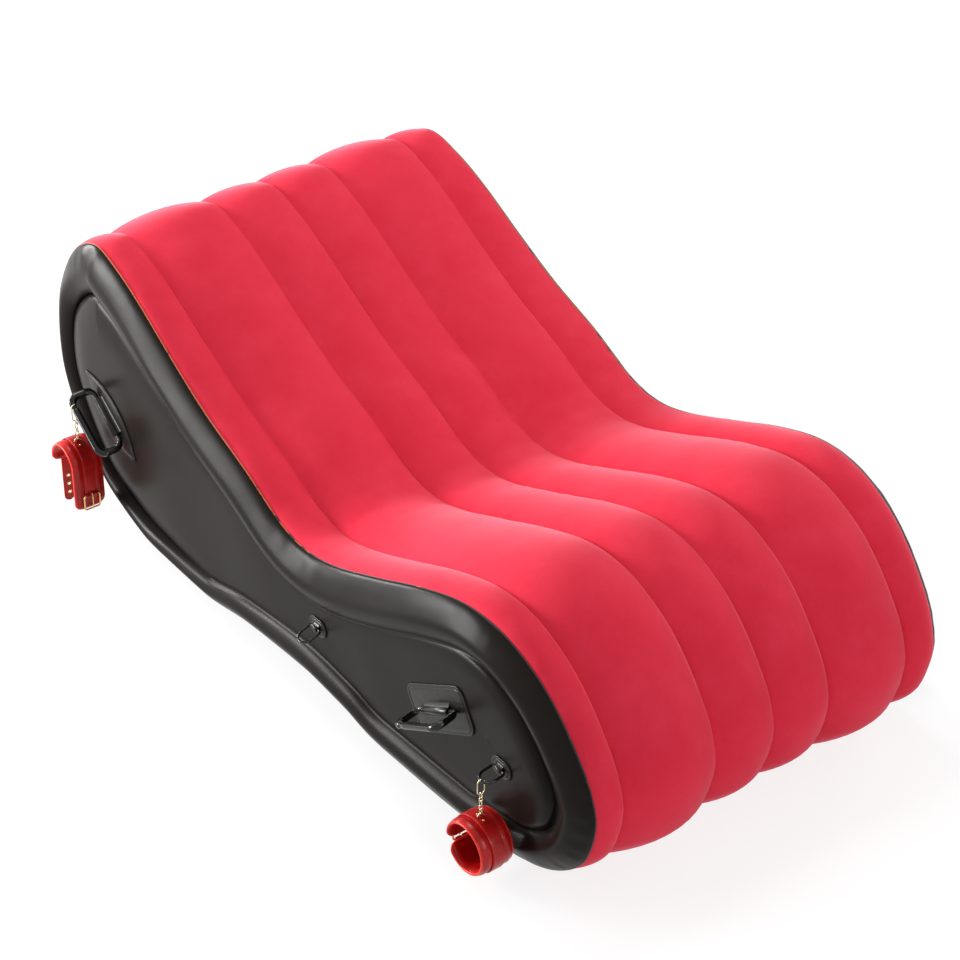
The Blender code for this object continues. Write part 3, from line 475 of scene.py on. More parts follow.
shape = bent_grid(COUNT - HEAD_SEAM + FOOT_SEAM, FLOOR_CELLS, floor_point)
under = piece("floor_sheet", shape, black_sheet, "bed", "bottom_panel", sharp=80)
film(under, 0.0012)
print("floor sheet faces", len(under.data.polygons))

# %% [markdown]
# ## The side sheets
# Each side is welded twice: along the seam with the seat, and again along a groove further in. The air makes a
# round tube between the two welds and a flatter pillow inside the groove. The pillow swells a little between the
# things welded to it, and a few smoothing passes take out the last unevenness. The tube puckers where it turns.

# %% Pillow
# What is welded to a pillow, as (x, z, how far round it the pillow stays flat): patches, tabs and the valve
WELDED = ((-0.546, 0.224, 0.085), (0.416, 0.200, 0.085), (0.087, 0.153, 0.032), (0.567, 0.188, 0.032),
          (-0.238, 0.177, 0.03))
SPINE_END, RIM_BLEND = 0.03, 0.03


def spine(x):
    """A point on the line along the middle of each side, with soft ends."""
    rows = [(a * LENGTH, b * HEIGHT) for a, b in SPINE]
    first, last = rows[0][0], rows[-1][0]
    x = first + SPINE_END * math.log1p(math.exp((x - first) / SPINE_END))
    x = last - SPINE_END * math.log1p(math.exp((last - x) / SPINE_END))
    for (x0, z0), (x1, z1) in zip(rows, rows[1:]):
        if x <= x1:
            return Vector((x, 0, z0 + (z1 - z0) * (x - x0) / (x1 - x0)))
    return Vector((rows[-1][0], 0, rows[-1][1]))


def tube_distances(spot, step):
    """How far a point lies inside the edge tube, from every few points of the outline."""
    flat = Vector((spot.x, 0, spot.z))
    return [(rim[n] - flat).length - tube[n] for n in range(0, COUNT, step)]


def dome(spot):
    """How far the pillow stands out at a point: nothing at the tube and at what is welded on, more between them."""
    free = min(math.hypot(spot.x - x, spot.z - z) - reach for x, z, reach in WELDED)
    near = sum(math.exp(-far / RIM_BLEND) for far in tube_distances(spot, 4))
    return 0.010 * ease(free / 0.25) * ease((0.045 - RIM_BLEND * math.log(near)) / 0.12)


print("pillow stands out by", round(dome(spine(0.25)), 4))

# %% Side sheets
SIDES = (("right", -1), ("left", 1))
TUBE_CELLS, PILLOW_CELLS, MIDDLE_CELLS = 18, 12, 5
SIDE_CELLS = TUBE_CELLS + PILLOW_CELLS + MIDDLE_CELLS
TUBE_BULGE = 0.028
TUBE_TURN = 156
PLATEAU = WIDTH / 2 + 0.012
SMOOTHING = 14


def bend_here(k):
    """How sharply the outline turns outwards at a point, from 0 to 1."""
    turn = outward[(k - 6) % COUNT].angle(outward[(k + 6) % COUNT])
    span = travel[min(k + 6, COUNT)] - travel[max(k - 6, 0)]
    return min(turn / max(span, 0.01) / 9, 1.0)


def side_rule(side):
    """The rule for one side: round the tube, down into the groove, up onto the pillow and in to its middle."""
    def side_point(i, j):
        k = i % COUNT
        place, out, wide, run = rim[k], outward[k], tube[k], travel[k]
        seam = half_width(place.x) + SEAM_GAP
        head = ease((-place.x - 0.25) / 0.2)
        end = math.radians(TUBE_TURN + 17 * head)
        if j <= TUBE_CELLS:
            turn = end * j / TUBE_CELLS
            pucker = wander(run / 0.015, side * 3.3, 5.5) * 0.0042 * bend_here(k)
            swell = wander(run * 7, j / 5, side * 2.0) * 0.0012
            lean = 0.45 + 0.55 * min(turn / 1.6, 1) ** 1.5
            uneven = pucker * math.exp(-((turn - 0.7) / 0.45) ** 2) + swell
            y = seam + (TUBE_BULGE * lean + uneven) * math.sin(turn)
            spot = place - out * wide * (1 - math.cos(turn)) / 2
            return Vector((spot.x, side * y, spot.z))
        groove = seam + TUBE_BULGE * math.sin(end)
        start, middle = place - out * wide, spine(place.x)
        reach, inward = (middle - start).length, (middle - start).normalized()
        rise = min(0.034 + 0.041 * head, reach * 0.6)
        if j <= TUBE_CELLS + PILLOW_CELLS:
            turn = math.pi / 2 * (j - TUBE_CELLS) / PILLOW_CELLS
            depth, y = rise * (1 - math.cos(turn)), groove + (PLATEAU - groove) * math.sin(turn)
        else:
            share = (j - TUBE_CELLS - PILLOW_CELLS) / MIDDLE_CELLS
            depth, y = rise + (reach * 0.96 - rise) * share, PLATEAU
        spot = start + inward * depth
        return Vector((spot.x, side * (y + dome(spot)), spot.z))
    return side_point


for label, side in SIDES:
    shape = bent_grid(COUNT, SIDE_CELLS, side_rule(side), cap=True)
    bmesh.ops.triangulate(shape, faces=[f for f in shape.faces if len(f.verts) > 4])
    raised = [v for v in shape.verts if abs(v.co.y) > WIDTH / 2 + 0.004]
    pillow = [v for v in raised if min(tube_distances(v.co, 3)) > 0.012]
    for _ in range(SMOOTHING):
        bmesh.ops.smooth_vert(shape, verts=pillow, factor=0.5, use_axis_y=True)
    made = piece(f"side_sheet_{label}", shape, black_sheet, "bed", f"side_panel_{label}", sharp=75)
    print(label, "side faces", len(made.data.polygons))

# %% [markdown]
# ## Sweeping a section
# Grips, rings, chain links, straps and piping are all one thing to a modeller: a section that travels along a path.
# A frame at each step says where the section stands and which way it faces. For a flat path the frames follow from
# its plane. The section may change on the way, so a bar can swell and a pad can round off at its ends.

# %% Sweep tools
def flat_frames(points, across, closed=False):
    """Frames along a flat path: each is (point, axis across the plane, axis off the path)."""
    rows = []
    for i, point in enumerate(points):
        ahead = points[(i + 1) % len(points)] if closed else points[min(i + 1, len(points) - 1)]
        behind = points[i - 1] if closed else points[max(i - 1, 0)]
        rows.append((point, across, across.cross((ahead - behind).normalized()).normalized()))
    return rows


def sweep(frames, section, closed=False):
    """A closed skin round a path. The section is a list of (across, off), or a function of the step."""
    steps = [section(i) if callable(section) else section for i in range(len(frames))]

    def rule(i, j):
        point, across, off = frames[i % len(frames)]
        a, b = steps[i % len(frames)][j % len(steps[0])]
        return point + across * a + off * b

    return bent_grid(len(frames) if closed else len(frames) - 1, len(steps[0]), rule, cap=not closed)


def oval_section(half_across, half_off, sides=12, power=1.0):
    """An oval, or with a power below 1 a rounder rectangle."""
    rows = []
    for k in range(sides):
        c, s = math.cos(2 * math.pi * (k + 0.5) / sides), math.sin(2 * math.pi * (k + 0.5) / sides)
        rows.append((half_across * math.copysign(abs(c) ** power, c), half_off * math.copysign(abs(s) ** power, s)))
    return rows


print("round section", len(oval_section(1, 1)), "points")

# %% Outlines and turned pieces
def gathered(shapes):
    """Joins several shapes into the first one."""
    whole = shapes[0]
    for other in shapes[1:]:
        spare = bpy.data.meshes.new("spare")
        other.to_mesh(spare)
        other.free()
        whole.from_mesh(spare)
        bpy.data.meshes.remove(spare)
    return whole


def arc(u, v, radius, start, end, steps):
    turns = [math.radians(start + (end - start) * k / steps) for k in range(steps + 1)]
    return [(u + radius * math.cos(t), v + radius * math.sin(t)) for t in turns]


def rounded_box(half_u, half_v, corner, steps=8):
    points = []
    for k, (a, b) in enumerate(((1, 1), (-1, 1), (-1, -1), (1, -1))):
        points += arc(a * (half_u - corner), b * (half_v - corner), corner, 90 * k, 90 * k + 90, steps)
    return points


def oval_loop(half_u, half_v, steps=8):
    reach = half_v - half_u
    return arc(0, reach, half_u, 0, 180, steps) + arc(0, -reach, half_u, 180, 360, steps)


def turned(profile, frame, steps=32):
    """A turned piece: rows of (radius, height), spun about the frame's third axis."""
    shape = bmesh.new()
    rows = [shape.verts.new((radius, 0, height)) for radius, height in profile]
    lines = [shape.edges.new(pair) for pair in zip(rows, rows[1:] + rows[:1])]
    bmesh.ops.spin(shape, geom=rows + lines, axis=(0, 0, 1), angle=2 * math.pi, steps=steps, use_merge=True)
    bmesh.ops.remove_doubles(shape, verts=shape.verts, dist=1e-6)
    bmesh.ops.transform(shape, matrix=frame, verts=shape.verts)
    bmesh.ops.recalc_face_normals(shape, faces=shape.faces)
    return shape

# %% [markdown]
# ## The weld bead
# Where the seat meets a side, both films are welded together and cut, which leaves a thin raised line. It is a
# slim round bead that runs right round the body on the seam.

# %% Weld beads
BEAD = 0.0013
for label, side in SIDES:
    line = []
    for place, out in zip(rim, outward):
        on_seam = Vector((place.x, side * half_width(place.x), max(place.z, BEAD)))
        line.append(on_seam + out * out.x * 0.0004)
    shape = sweep(flat_frames(line, Vector((0, 1, 0)), closed=True), oval_section(BEAD, BEAD, 6), closed=True)
    bead = piece(f"weld_bead_{label}", shape, weld, "bed")
print("bead faces", len(bead.data.polygons))

# %% [markdown]
# ## Welded patches
# Every grip and ring hangs on a patch that is welded to the pillow. A patch is a flat blank with a rounded edge,
# and the welding tool presses a fine line just inside it. The blank's outline is filled, then extruded and inset
# step by step, which gives the round edge, the pressed line and the raised middle one after another.

# %% Patch tools
GAP = 0.0003
PATCH = 0.0025


def on_side(shares, tilt, side):
    """A frame on a side's pillow: u along the tilt, v across it, height away from the pillow."""
    turn = math.radians(tilt)
    u, v = Vector((math.cos(turn), 0, math.sin(turn))), Vector((-math.sin(turn), 0, math.cos(turn)))
    made = Matrix((u, v, Vector((0, side, 0)))).transposed().to_4x4()
    made.translation = Vector((shares[0] * LENGTH, side * PLATEAU, shares[1] * HEIGHT))
    return made


def blank(outline, frame, steps):
    """A plate that grows from its outline by steps of (inset, rise). The first rise is straight up."""
    shape = bmesh.new()
    ring = bmesh.ops.create_circle(shape, cap_ends=True, segments=len(outline), radius=1)["verts"]
    for vert, (u, v) in zip(ring, outline):
        vert.co = (u, v, steps[0][0])
    shape.faces.ensure_lookup_table()
    top = shape.faces[0]
    top.normal_update()
    if top.normal.z < 0:
        top.normal_flip()
    grown = bmesh.ops.extrude_face_region(shape, geom=[top], use_keep_orig=True)["geom"]
    bmesh.ops.translate(shape, verts=[g for g in grown if isinstance(g, bmesh.types.BMVert)], vec=(0, 0, steps[0][1]))
    top = [g for g in grown if isinstance(g, bmesh.types.BMFace)][0]
    for inset, rise in steps[1:]:
        bmesh.ops.inset_region(shape, faces=[top], thickness=inset, depth=rise, use_even_offset=True)
    bmesh.ops.transform(shape, matrix=frame, verts=shape.verts)
    bmesh.ops.recalc_face_normals(shape, faces=shape.faces)
    return shape


# The press leaves a round edge, a fine line just inside it and a raised middle.
PRESSED = [(GAP, 0.0013), (0.0002, 0.0005), (0.0005, 0.0005), (0.0007, 0.0002), (0.0026, 0.0), (0.0005, -0.0006),
           (0.0007, 0.0), (0.0005, 0.0006), (0.0030, 0.0003)]
print("patch", PATCH, "thick")

# %% Sleeves and the leaf outline
def axis_height(wire):
    """How high over the pillow a wire's axis runs in its sleeve."""
    return GAP + PATCH + 0.0005 + wire + 0.0005


def sleeve(frame, wire, length, wall=0.002):
    """A bored sleeve across a patch, with a saddle of sheet that runs down to the patch on both sides."""
    height = axis_height(wire)
    bore = wire + 0.0005
    outer, half = bore + wall, length / 2
    lying = frame @ Matrix.Translation((0, 0, height)) @ Matrix.Rotation(math.pi / 2, 4, "Y")
    tube_shape = turned([(bore, -half), (outer - 0.0007, -half), (outer, -half + 0.0008), (outer, half - 0.0008),
                         (outer - 0.0007, half), (bore, half)], lying, 28)
    shapes = [tube_shape]
    for sign in (-1, 1):
        rows = []
        for k in range(9):
            t = k / 8
            rise = (height - GAP - PATCH) * (1 - t) ** 2.4
            rows.append((sign * (outer * 0.92 + t * outer * 1.3), GAP + PATCH + rise))
        rows += [(sign * outer * share, GAP + PATCH * 0.9) for share in (2.2, 0.5)] + [(sign * outer * 0.5, height)]
        path = [frame @ Vector((u, 0, 0)) for u in (-half * 0.97, -half * 0.93, half * 0.93, half * 0.97)]
        axes = [(p, frame.to_3x3() @ Vector((0, 1, 0)), frame.to_3x3() @ Vector((0, 0, 1))) for p in path]
        shapes.append(sweep(axes, rows))
    return gathered(shapes)


def leaf(length, width, steps=18):
    half, rise = length / 2, width / 2
    radius = (half * half + rise * rise) / (2 * rise)
    turn = math.degrees(math.asin(half / radius))
    over = arc(0, rise - radius, radius, 90 - turn, 90 + turn, steps)
    return over[:-1] + arc(0, radius - rise, radius, 270 - turn, 270 + turn, steps)[:-1]

# %% Patches, tabs and sleeves
HEAD_PLACE, FOOT_PLACE = ((-0.3665, 0.419), -36), ((0.2792, 0.374), 31)
WAIST_TAB, FOOT_TAB = ((0.0586, 0.286), 0), ((0.3807, 0.351), 0)
GRIP_WIRE, RING_WIRE = 0.0045, 0.0022
PATCHES = (
    ("head_patch", HEAD_PLACE, leaf(0.19, 0.075), GRIP_WIRE, 0.074),
    ("foot_patch", FOOT_PLACE, rounded_box(0.081, 0.041, 0.018), GRIP_WIRE, 0.074),
    ("waist_tab", WAIST_TAB, rounded_box(0.023, 0.017, 0.0153), RING_WIRE, 0.013),
    ("foot_tab", FOOT_TAB, rounded_box(0.023, 0.017, 0.0153), RING_WIRE, 0.013),
)
for label, side in SIDES:
    for name, place, outline, wire, length in PATCHES:
        frame_here = on_side(*place, side)
        shape = gathered([blank(outline, frame_here, PRESSED), sleeve(frame_here, wire, length)])
        made = piece(f"{name}_{label}_welded", shape, patch_pvc, "bed", f"{name}_{label}", sharp=50)
print("patches", 2 * len(PATCHES), "faces on the last", len(made.data.polygons))

# %% [markdown]
# ## Grips
# Each grip is one glossy moulding: a round bar inside the sleeve, a knuckle at both ends of it, two thick arms and
# a wide, flattened bar for the fingers. It is one sweep round a closed path. Its section is a function of the place,
# so the bar is round where it turns and flat where it is held.

# %% Grips
def hanging(shares, tilt, side, wire, droop):
    """The frame of a loop that pivots in its sleeve, let down by its droop."""
    lift = Matrix.Translation((0, 0, axis_height(wire)))
    return on_side(shares, tilt, side) @ lift @ Matrix.Rotation(math.radians(droop), 4, "X")


def loop_in(frame, outline, section):
    """Sweeps a section round a closed outline of (u, height) in a frame."""
    points = [frame @ Vector((u, 0, v)) for u, v in outline]
    normal = (frame.to_3x3() @ Vector((0, 1, 0))).normalized()
    return sweep(flat_frames(points, normal, closed=True), section, closed=True)


def spread_out(outline, longest):
    """Adds points on the long stretches of a closed outline."""
    rows = []
    for (u0, v0), (u1, v1) in zip(outline, outline[1:] + outline[:1]):
        count = max(1, round(math.hypot(u1 - u0, v1 - v0) / longest))
        rows += [(u0 + (u1 - u0) * k / count, v0 + (v1 - v0) * k / count) for k in range(count)]
    return rows


GRIP_LINE = spread_out([(u, v + 0.0215) for u, v in rounded_box(0.058, 0.0215, 0.014)], 0.003)


def grip_section(i):
    u, v = GRIP_LINE[i]
    held = ease((v - 0.012) / 0.024)
    knuckle = math.exp(-((abs(u) - 0.0445) / 0.004) ** 2) * (1 if v < 0.01 else 0)
    end = min(max((abs(u) - 0.040) / 0.012, 0), 1)
    free = min(max(v / 0.010, 0), 1) * end + held * (1 - end)
    hook = math.exp(-((u + 0.0394) / 0.0045) ** 2) * held
    across = 0.0042 + 0.0014 * end + 0.0005 * held * (1 - end) + 0.0006 * knuckle - 0.0012 * hook
    off = 0.0042 + 0.0004 * end + 0.0024 * free - 0.0017 * hook
    return oval_section(across, off, 16, 1 - 0.35 * max(held, end * 0.6))


for label, side in SIDES:
    for name, place in (("head_grip", HEAD_PLACE), ("foot_grip", FOOT_PLACE)):
        shape = loop_in(hanging(*place, side, GRIP_WIRE, 10), GRIP_LINE, grip_section)
        made = piece(f"{name}_{label}_moulding", shape, grip_abs, f"{name}_{label}", f"{name}_{label}", sharp=60)
print("grip faces", len(made.data.polygons), "bar", 2 * GRIP_WIRE)

# %% [markdown]
# ## D rings
# The small rings at the waist and the foot are the same black moulding, bent into a D. Its straight bar turns in the
# tab's sleeve, so the corners get a tight radius and the nose a wide one.

# %% D rings
RING_LINE = spread_out(
    arc(0, 0.0198, 0.014, 0, 180, 16)
    + arc(-0.0105, 0.0035, 0.0035, 180, 270, 5) + arc(0.0105, 0.0035, 0.0035, 270, 360, 5), 0.0025)
for label, side in SIDES:
    for name, place, droop in (("waist_ring", WAIST_TAB, 20), ("foot_ring", FOOT_TAB, 10)):
        shape = loop_in(hanging(*place, side, RING_WIRE, droop), RING_LINE, oval_section(RING_WIRE, RING_WIRE, 12))
        made = piece(f"{name}_{label}_moulding", shape, grip_abs, f"{name}_{label}", f"{name}_{label}", sharp=60)
print("ring faces", len(made.data.polygons))

# %% [markdown]
# ## Hooks and chains
# A long wire loop hangs over the grip or the ring, and five small links follow it, each turned a quarter from the
# last. The links are drawn as separate closed loops that pass through each other, as real ones do.

# %% Hooks and chains
WIRE, PITCH, LINKS = 0.001, 0.008, 5
HUNG = (("head", GRIP_WIRE, HEAD_PLACE[1]), ("foot", RING_WIRE, 0))


def upright(centre, half_u, half_v, across):
    """An upright oval loop of wire."""
    points = [centre + across * u + Vector((0, 0, v)) for u, v in oval_loop(half_u, half_v)]
    frames = flat_frames(points, across.cross(Vector((0, 0, 1))), closed=True)
    return sweep(frames, oval_section(WIRE, WIRE, 8), closed=True)


def pivot_of(joint):
    return Vector(joints[joint]["pos_m"])


for label, side in SIDES:
    for end, bar, tilt in HUNG:
        hang, top = pivot_of(f"{end}_hook_{label}_hinge"), pivot_of(f"{end}_chain_{label}_swing")
        slope = abs(math.tan(math.radians(tilt)))
        head = hang.z + bar / math.cos(math.radians(tilt)) + WIRE * (1 + slope) + 0.0004
        centre = Vector((hang.x, hang.y, (head + top.z) / 2))
        shape = upright(centre, 0.00675, (head - top.z) / 2, Vector((0, 1, 0)))
        hook, chain = f"{end}_hook_{label}", f"{end}_chain_{label}"
        piece(f"{hook}_wire", shape, steel_wire, hook, hook, sharp=60)
        half = (PITCH + 1.1 * WIRE) / 2
        first = top.z + 2 * WIRE + 0.0004 - half
        links = []
        for k in range(LINKS):
            turn = Vector((1, 0, 0)) if k % 2 == 0 else Vector((0, 1, 0))
            links.append(upright(Vector((top.x, top.y, first - k * PITCH)), 0.0028, half, turn))
        made = piece(f"{chain}_links", gathered(links), steel_wire, chain, chain, sharp=60)
print("link faces", len(made.data.polygons) // LINKS)

# %% [markdown]
# ## Cuff pads
# A cuff is a soft foam pad in glossy leatherette with a narrow strap stitched along its middle. Pinned flat, the pad
# would be a long strip with round corners. Bent, it keeps that strip's section, so it is swept along its bend: foam
# stands up on both sides of the strap, and thickness and width both run out at the ends. The near foot cuff is
# closed into a ring, the head cuffs hang open like an arch, and the far foot cuff has sprung wide.

# %% Cuff bends
PAD_HALF, PAD_CORNER, PAD = 0.029, 0.013, 0.007
STRAP_HALF, STRAP = 0.011, 0.0025
STRAP_LOW = PAD + GAP
BUCKLE, RING_RISE = 0.028, 0.009
CLOSED = (0.049, -152, 192, -0.0016, 0, 0, 0)
ARCH = (0.041, 0, 180, -0.0094, 0.083, 0.012, 0.112)
SPREAD = (0.095, 42, 138, -0.0118, 0.05, 0.012, 0.07)
CUFFS = (("head", "right", ARCH), ("head", "left", ARCH), ("foot", "right", CLOSED), ("foot", "left", SPREAD))


def bend(kind, first_leg, last_leg, pitch=0.002):
    """A path in a cuff's frame (u along X, v up): a straight leg, an arc and a straight leg, evenly stepped."""
    radius, start, end, shift = kind[:4]
    inside = radius - STRAP_LOW - STRAP
    middle = -math.sqrt(radius * radius - shift * shift)
    rows = arc(shift, middle, inside, start, end, round(math.radians(end - start) * inside / pitch))
    a, b = math.radians(start), math.radians(end)
    (u0, v0), (u1, v1) = rows[0], rows[-1]
    for k in range(1, round(first_leg / pitch) + 1):
        reach = first_leg * k / round(first_leg / pitch)
        rows.insert(0, (u0 + math.sin(a) * reach, v0 - math.cos(a) * reach))
    for k in range(1, round(last_leg / pitch) + 1):
        reach = last_leg * k / round(last_leg / pitch)
        rows.append((u1 - math.sin(b) * reach, v1 + math.cos(b) * reach))
    return rows


def cuff_top(end, label):
    """The top of a cuff's strap, under the point where its D ring hangs."""
    return pivot_of(f"{end}_cuff_{label}_swing") - Vector((0, 0, RING_RISE))


def cuff_frames(top, rows):
    """Frames along a bend: across the band, and away from the wearer."""
    made = []
    for i, (u, v) in enumerate(rows):
        ahead, behind = rows[min(i + 1, len(rows) - 1)], rows[max(i - 1, 0)]
        along = Vector((ahead[0] - behind[0], 0, ahead[1] - behind[1])).normalized()
        made.append((top + Vector((u, 0, v)), Vector((0, 1, 0)), Vector((along.z, 0, -along.x))))
    return made


def run_of(rows):
    total = [0.0]
    for a, b in zip(rows, rows[1:]):
        total.append(total[-1] + math.dist(a, b))
    return total


print("closed cuff", round(run_of(bend(CLOSED, 0, 0))[-1], 3), "m round")

# %% Pad section
def end_taper(run, total, corner):
    """How much of the width is left near a round end: 1 in the middle, less within a corner's reach of the ends."""
    short = min(run, total - run)
    return math.sqrt(max(1 - (1 - min(short / corner, 1)) ** 2, 0.0))


def pad_edge(i, run):
    """Half the pad's width: full along the band, less at its round ends."""
    return PAD_HALF - PAD_CORNER * (1 - end_taper(run[i], run[-1], PAD_CORNER))


def pad_section(i, run, full):
    half = pad_edge(i, run)
    thin = 0.25 + 0.75 * end_taper(run[i], run[-1], 0.004)
    rows = []
    for k in range(36):
        turn = 2 * math.pi * (k + 0.5) / 36
        c, s = math.cos(turn), math.sin(turn)
        a = half * math.copysign(abs(c) ** 0.55, c)
        b = PAD / 2 + PAD / 2 * math.copysign(abs(s) ** 0.6, s) * thin
        swell = math.exp(-((abs(a) - 0.0195) / 0.0055) ** 2)
        b += 0.0016 * swell * thin if s > 0 else -0.0012 * swell * thin
        if s > 0 and abs(a) < 0.0135:
            b = min(b, PAD - 0.0001)
        wrinkle = wander(run[i] / 0.011, a / 0.008, full) * (0.00045 if abs(a) > 0.0145 else 0.000045)
        rows.append((a, b + wrinkle * thin))
    return rows

# %% Pads
for end, label, kind in CUFFS:
    body, node_name = f"{end}_cuff_{label}", f"{end}_cuff_pad_{label}"
    rows = bend(kind, kind[4], kind[5])
    run = run_of(rows)
    shape = sweep(cuff_frames(cuff_top(end, label), rows), lambda i: pad_section(i, run, kind[0] * 50))
    made = piece(f"{body}_foam_pad", shape, leatherette, body, node_name, sharp=60)
    print(end, label, "pad", round(run[-1], 3), "m long, faces", len(made.data.polygons))

# %% [markdown]
# ## Piping
# A round cord in the same leatherette is sewn into the pad's edge, and it is what catches the light on the rim of
# the closed cuff. Its path goes up one edge of the pad, round the end and back down the other edge.

# %% Piping
PIPE = 0.0024
for end, label, kind in CUFFS:
    rows = bend(kind, kind[4], kind[5])
    run, frames = run_of(rows), cuff_frames(cuff_top(end, label), rows)
    edge = []
    for sign, order in ((1, range(len(rows))), (-1, range(len(rows) - 1, -1, -1))):
        for i in order:
            point, across, off = frames[i]
            edge.append((point + across * sign * (pad_edge(i, run) - 0.0008) + off * PAD * 0.52, off))
    path = []
    for i, (point, off) in enumerate(edge):
        along = (edge[(i + 1) % len(edge)][0] - edge[i - 1][0]).normalized()
        path.append((point, along.cross(off).normalized(), off))
    shape = sweep(path, oval_section(PIPE, PIPE, 10), closed=True)
    made = piece(f"{end}_cuff_{label}_piping", shape, piping_red, f"{end}_cuff_{label}", sharp=70)
print("piping faces", len(made.data.polygons))

# %% [markdown]
# ## Straps, keepers and rivets
# The strap is a flat band, stitched down near both edges. At the top a short keeper loop holds the D ring, fixed by
# two rivets. At one end the strap folds round the buckle's bar. The other end is a tongue with a round tip and
# punched eyelets. The strap is a sweep, and the holes are cut by a Boolean and lined with metal rings.

# %% Strap tools
EYELET = [(0.0021, -0.0003), (0.0036, -0.0003), (0.0040, 0.0001), (0.0040, 0.0024), (0.0036, 0.0030),
          (0.0029, 0.0034), (0.0023, 0.0031), (0.0021, 0.0026)]


def strap_section(i, run, tip):
    half = STRAP_HALF
    if tip:
        short = run[-1] - run[i]
        half = STRAP_HALF * math.sqrt(max(1 - (1 - min(short / STRAP_HALF, 1)) ** 2, 0.02))
    rows = oval_section(half, STRAP / 2, 24, 0.3)
    return [(a, STRAP_LOW + STRAP / 2 + b) for a, b in rows]


def stitched(frames, run, offset, height, first, last, pitch=0.0042):
    """A row of short thread stitches along a path, at an offset across it."""
    shape = bmesh.new()
    count = int((last - first) / pitch)
    for k in range(count):
        place = first + pitch * (k + 0.5)
        i = min(range(len(run)), key=lambda n: abs(run[n] - place))
        point, across, off = frames[i]
        along = across.cross(off)
        spot = Matrix((along * 0.0014, across * 0.00042, off * 0.00042)).transposed().to_4x4()
        spot.translation = point + across * offset + off * height
        bmesh.ops.create_icosphere(shape, subdivisions=1, radius=1, matrix=spot)
    return shape


def cut_holes(target, cutters):
    """Takes the cutters out of a piece for good."""
    spare = bpy.data.meshes.new("spare")
    cutters.to_mesh(spare)
    cutters.free()
    tool = bpy.data.objects.new("spare", spare)
    bpy.context.scene.collection.objects.link(tool)
    cut = target.modifiers.new("holes", "BOOLEAN")
    cut.operation, cut.solver, cut.object = "DIFFERENCE", "EXACT", tool
    bpy.context.view_layer.update()
    graph = bpy.context.evaluated_depsgraph_get()
    done = bpy.data.meshes.new_from_object(target.evaluated_get(graph))
    target.modifiers.clear()
    target.data = done
    bpy.data.objects.remove(tool, do_unlink=True)


print("eyelet", 2 * EYELET[0][0], "wide inside")

# %% Straps on the cuffs
for end, label, kind in CUFFS:
    body = f"{end}_cuff_{label}"
    top, tongue = cuff_top(end, label), kind[6]
    rows = bend(kind, kind[4] - BUCKLE if tongue else 0, tongue)
    run, frames = run_of(rows), cuff_frames(top, rows)
    shape = sweep(frames, lambda i: strap_section(i, run, bool(tongue)))
    strap = piece(f"{body}_strap_band", shape, leatherette, body, f"{end}_cuff_strap_{label}", sharp=50)
    threads = []
    for offset in (-0.0092, 0.0092):
        threads.append(stitched(frames, run, offset, STRAP_LOW + STRAP, 0.006, run[-1] - (0.02 if tongue else 0.006)))
    pad_rows = bend(kind, kind[4], kind[5])
    pad_run, pad_frames = run_of(pad_rows), cuff_frames(top, pad_rows)
    for offset in (-0.0243, 0.0243):
        threads.append(stitched(pad_frames, pad_run, offset, PAD + 0.0006, 0.01, pad_run[-1] - 0.008))
    made = piece(f"{body}_stitches", gathered(threads), thread_red, body)
    if tongue:
        tip, before = frames[-1][0], frames[-3][0]
        up, off = (before - tip).normalized(), frames[-1][2]
        cutters, rings = [], []
        for k in range(3):
            spot = tip + up * 0.018 * (k + 1)
            axes = Matrix((up, off.cross(up), off)).transposed().to_4x4()
            axes.translation = spot + off * STRAP_LOW
            cutters.append(turned([(0, -0.002), (0.0024, -0.002), (0.0024, 0.005), (0, 0.005)], axes, 16))
            rings.append(turned(EYELET, axes, 24))
        cut_holes(strap, gathered(cutters))
        made = piece(f"{body}_eyelets", gathered(rings), gold_plate, body, sharp=50)
print("strap faces", len(strap.data.polygons))

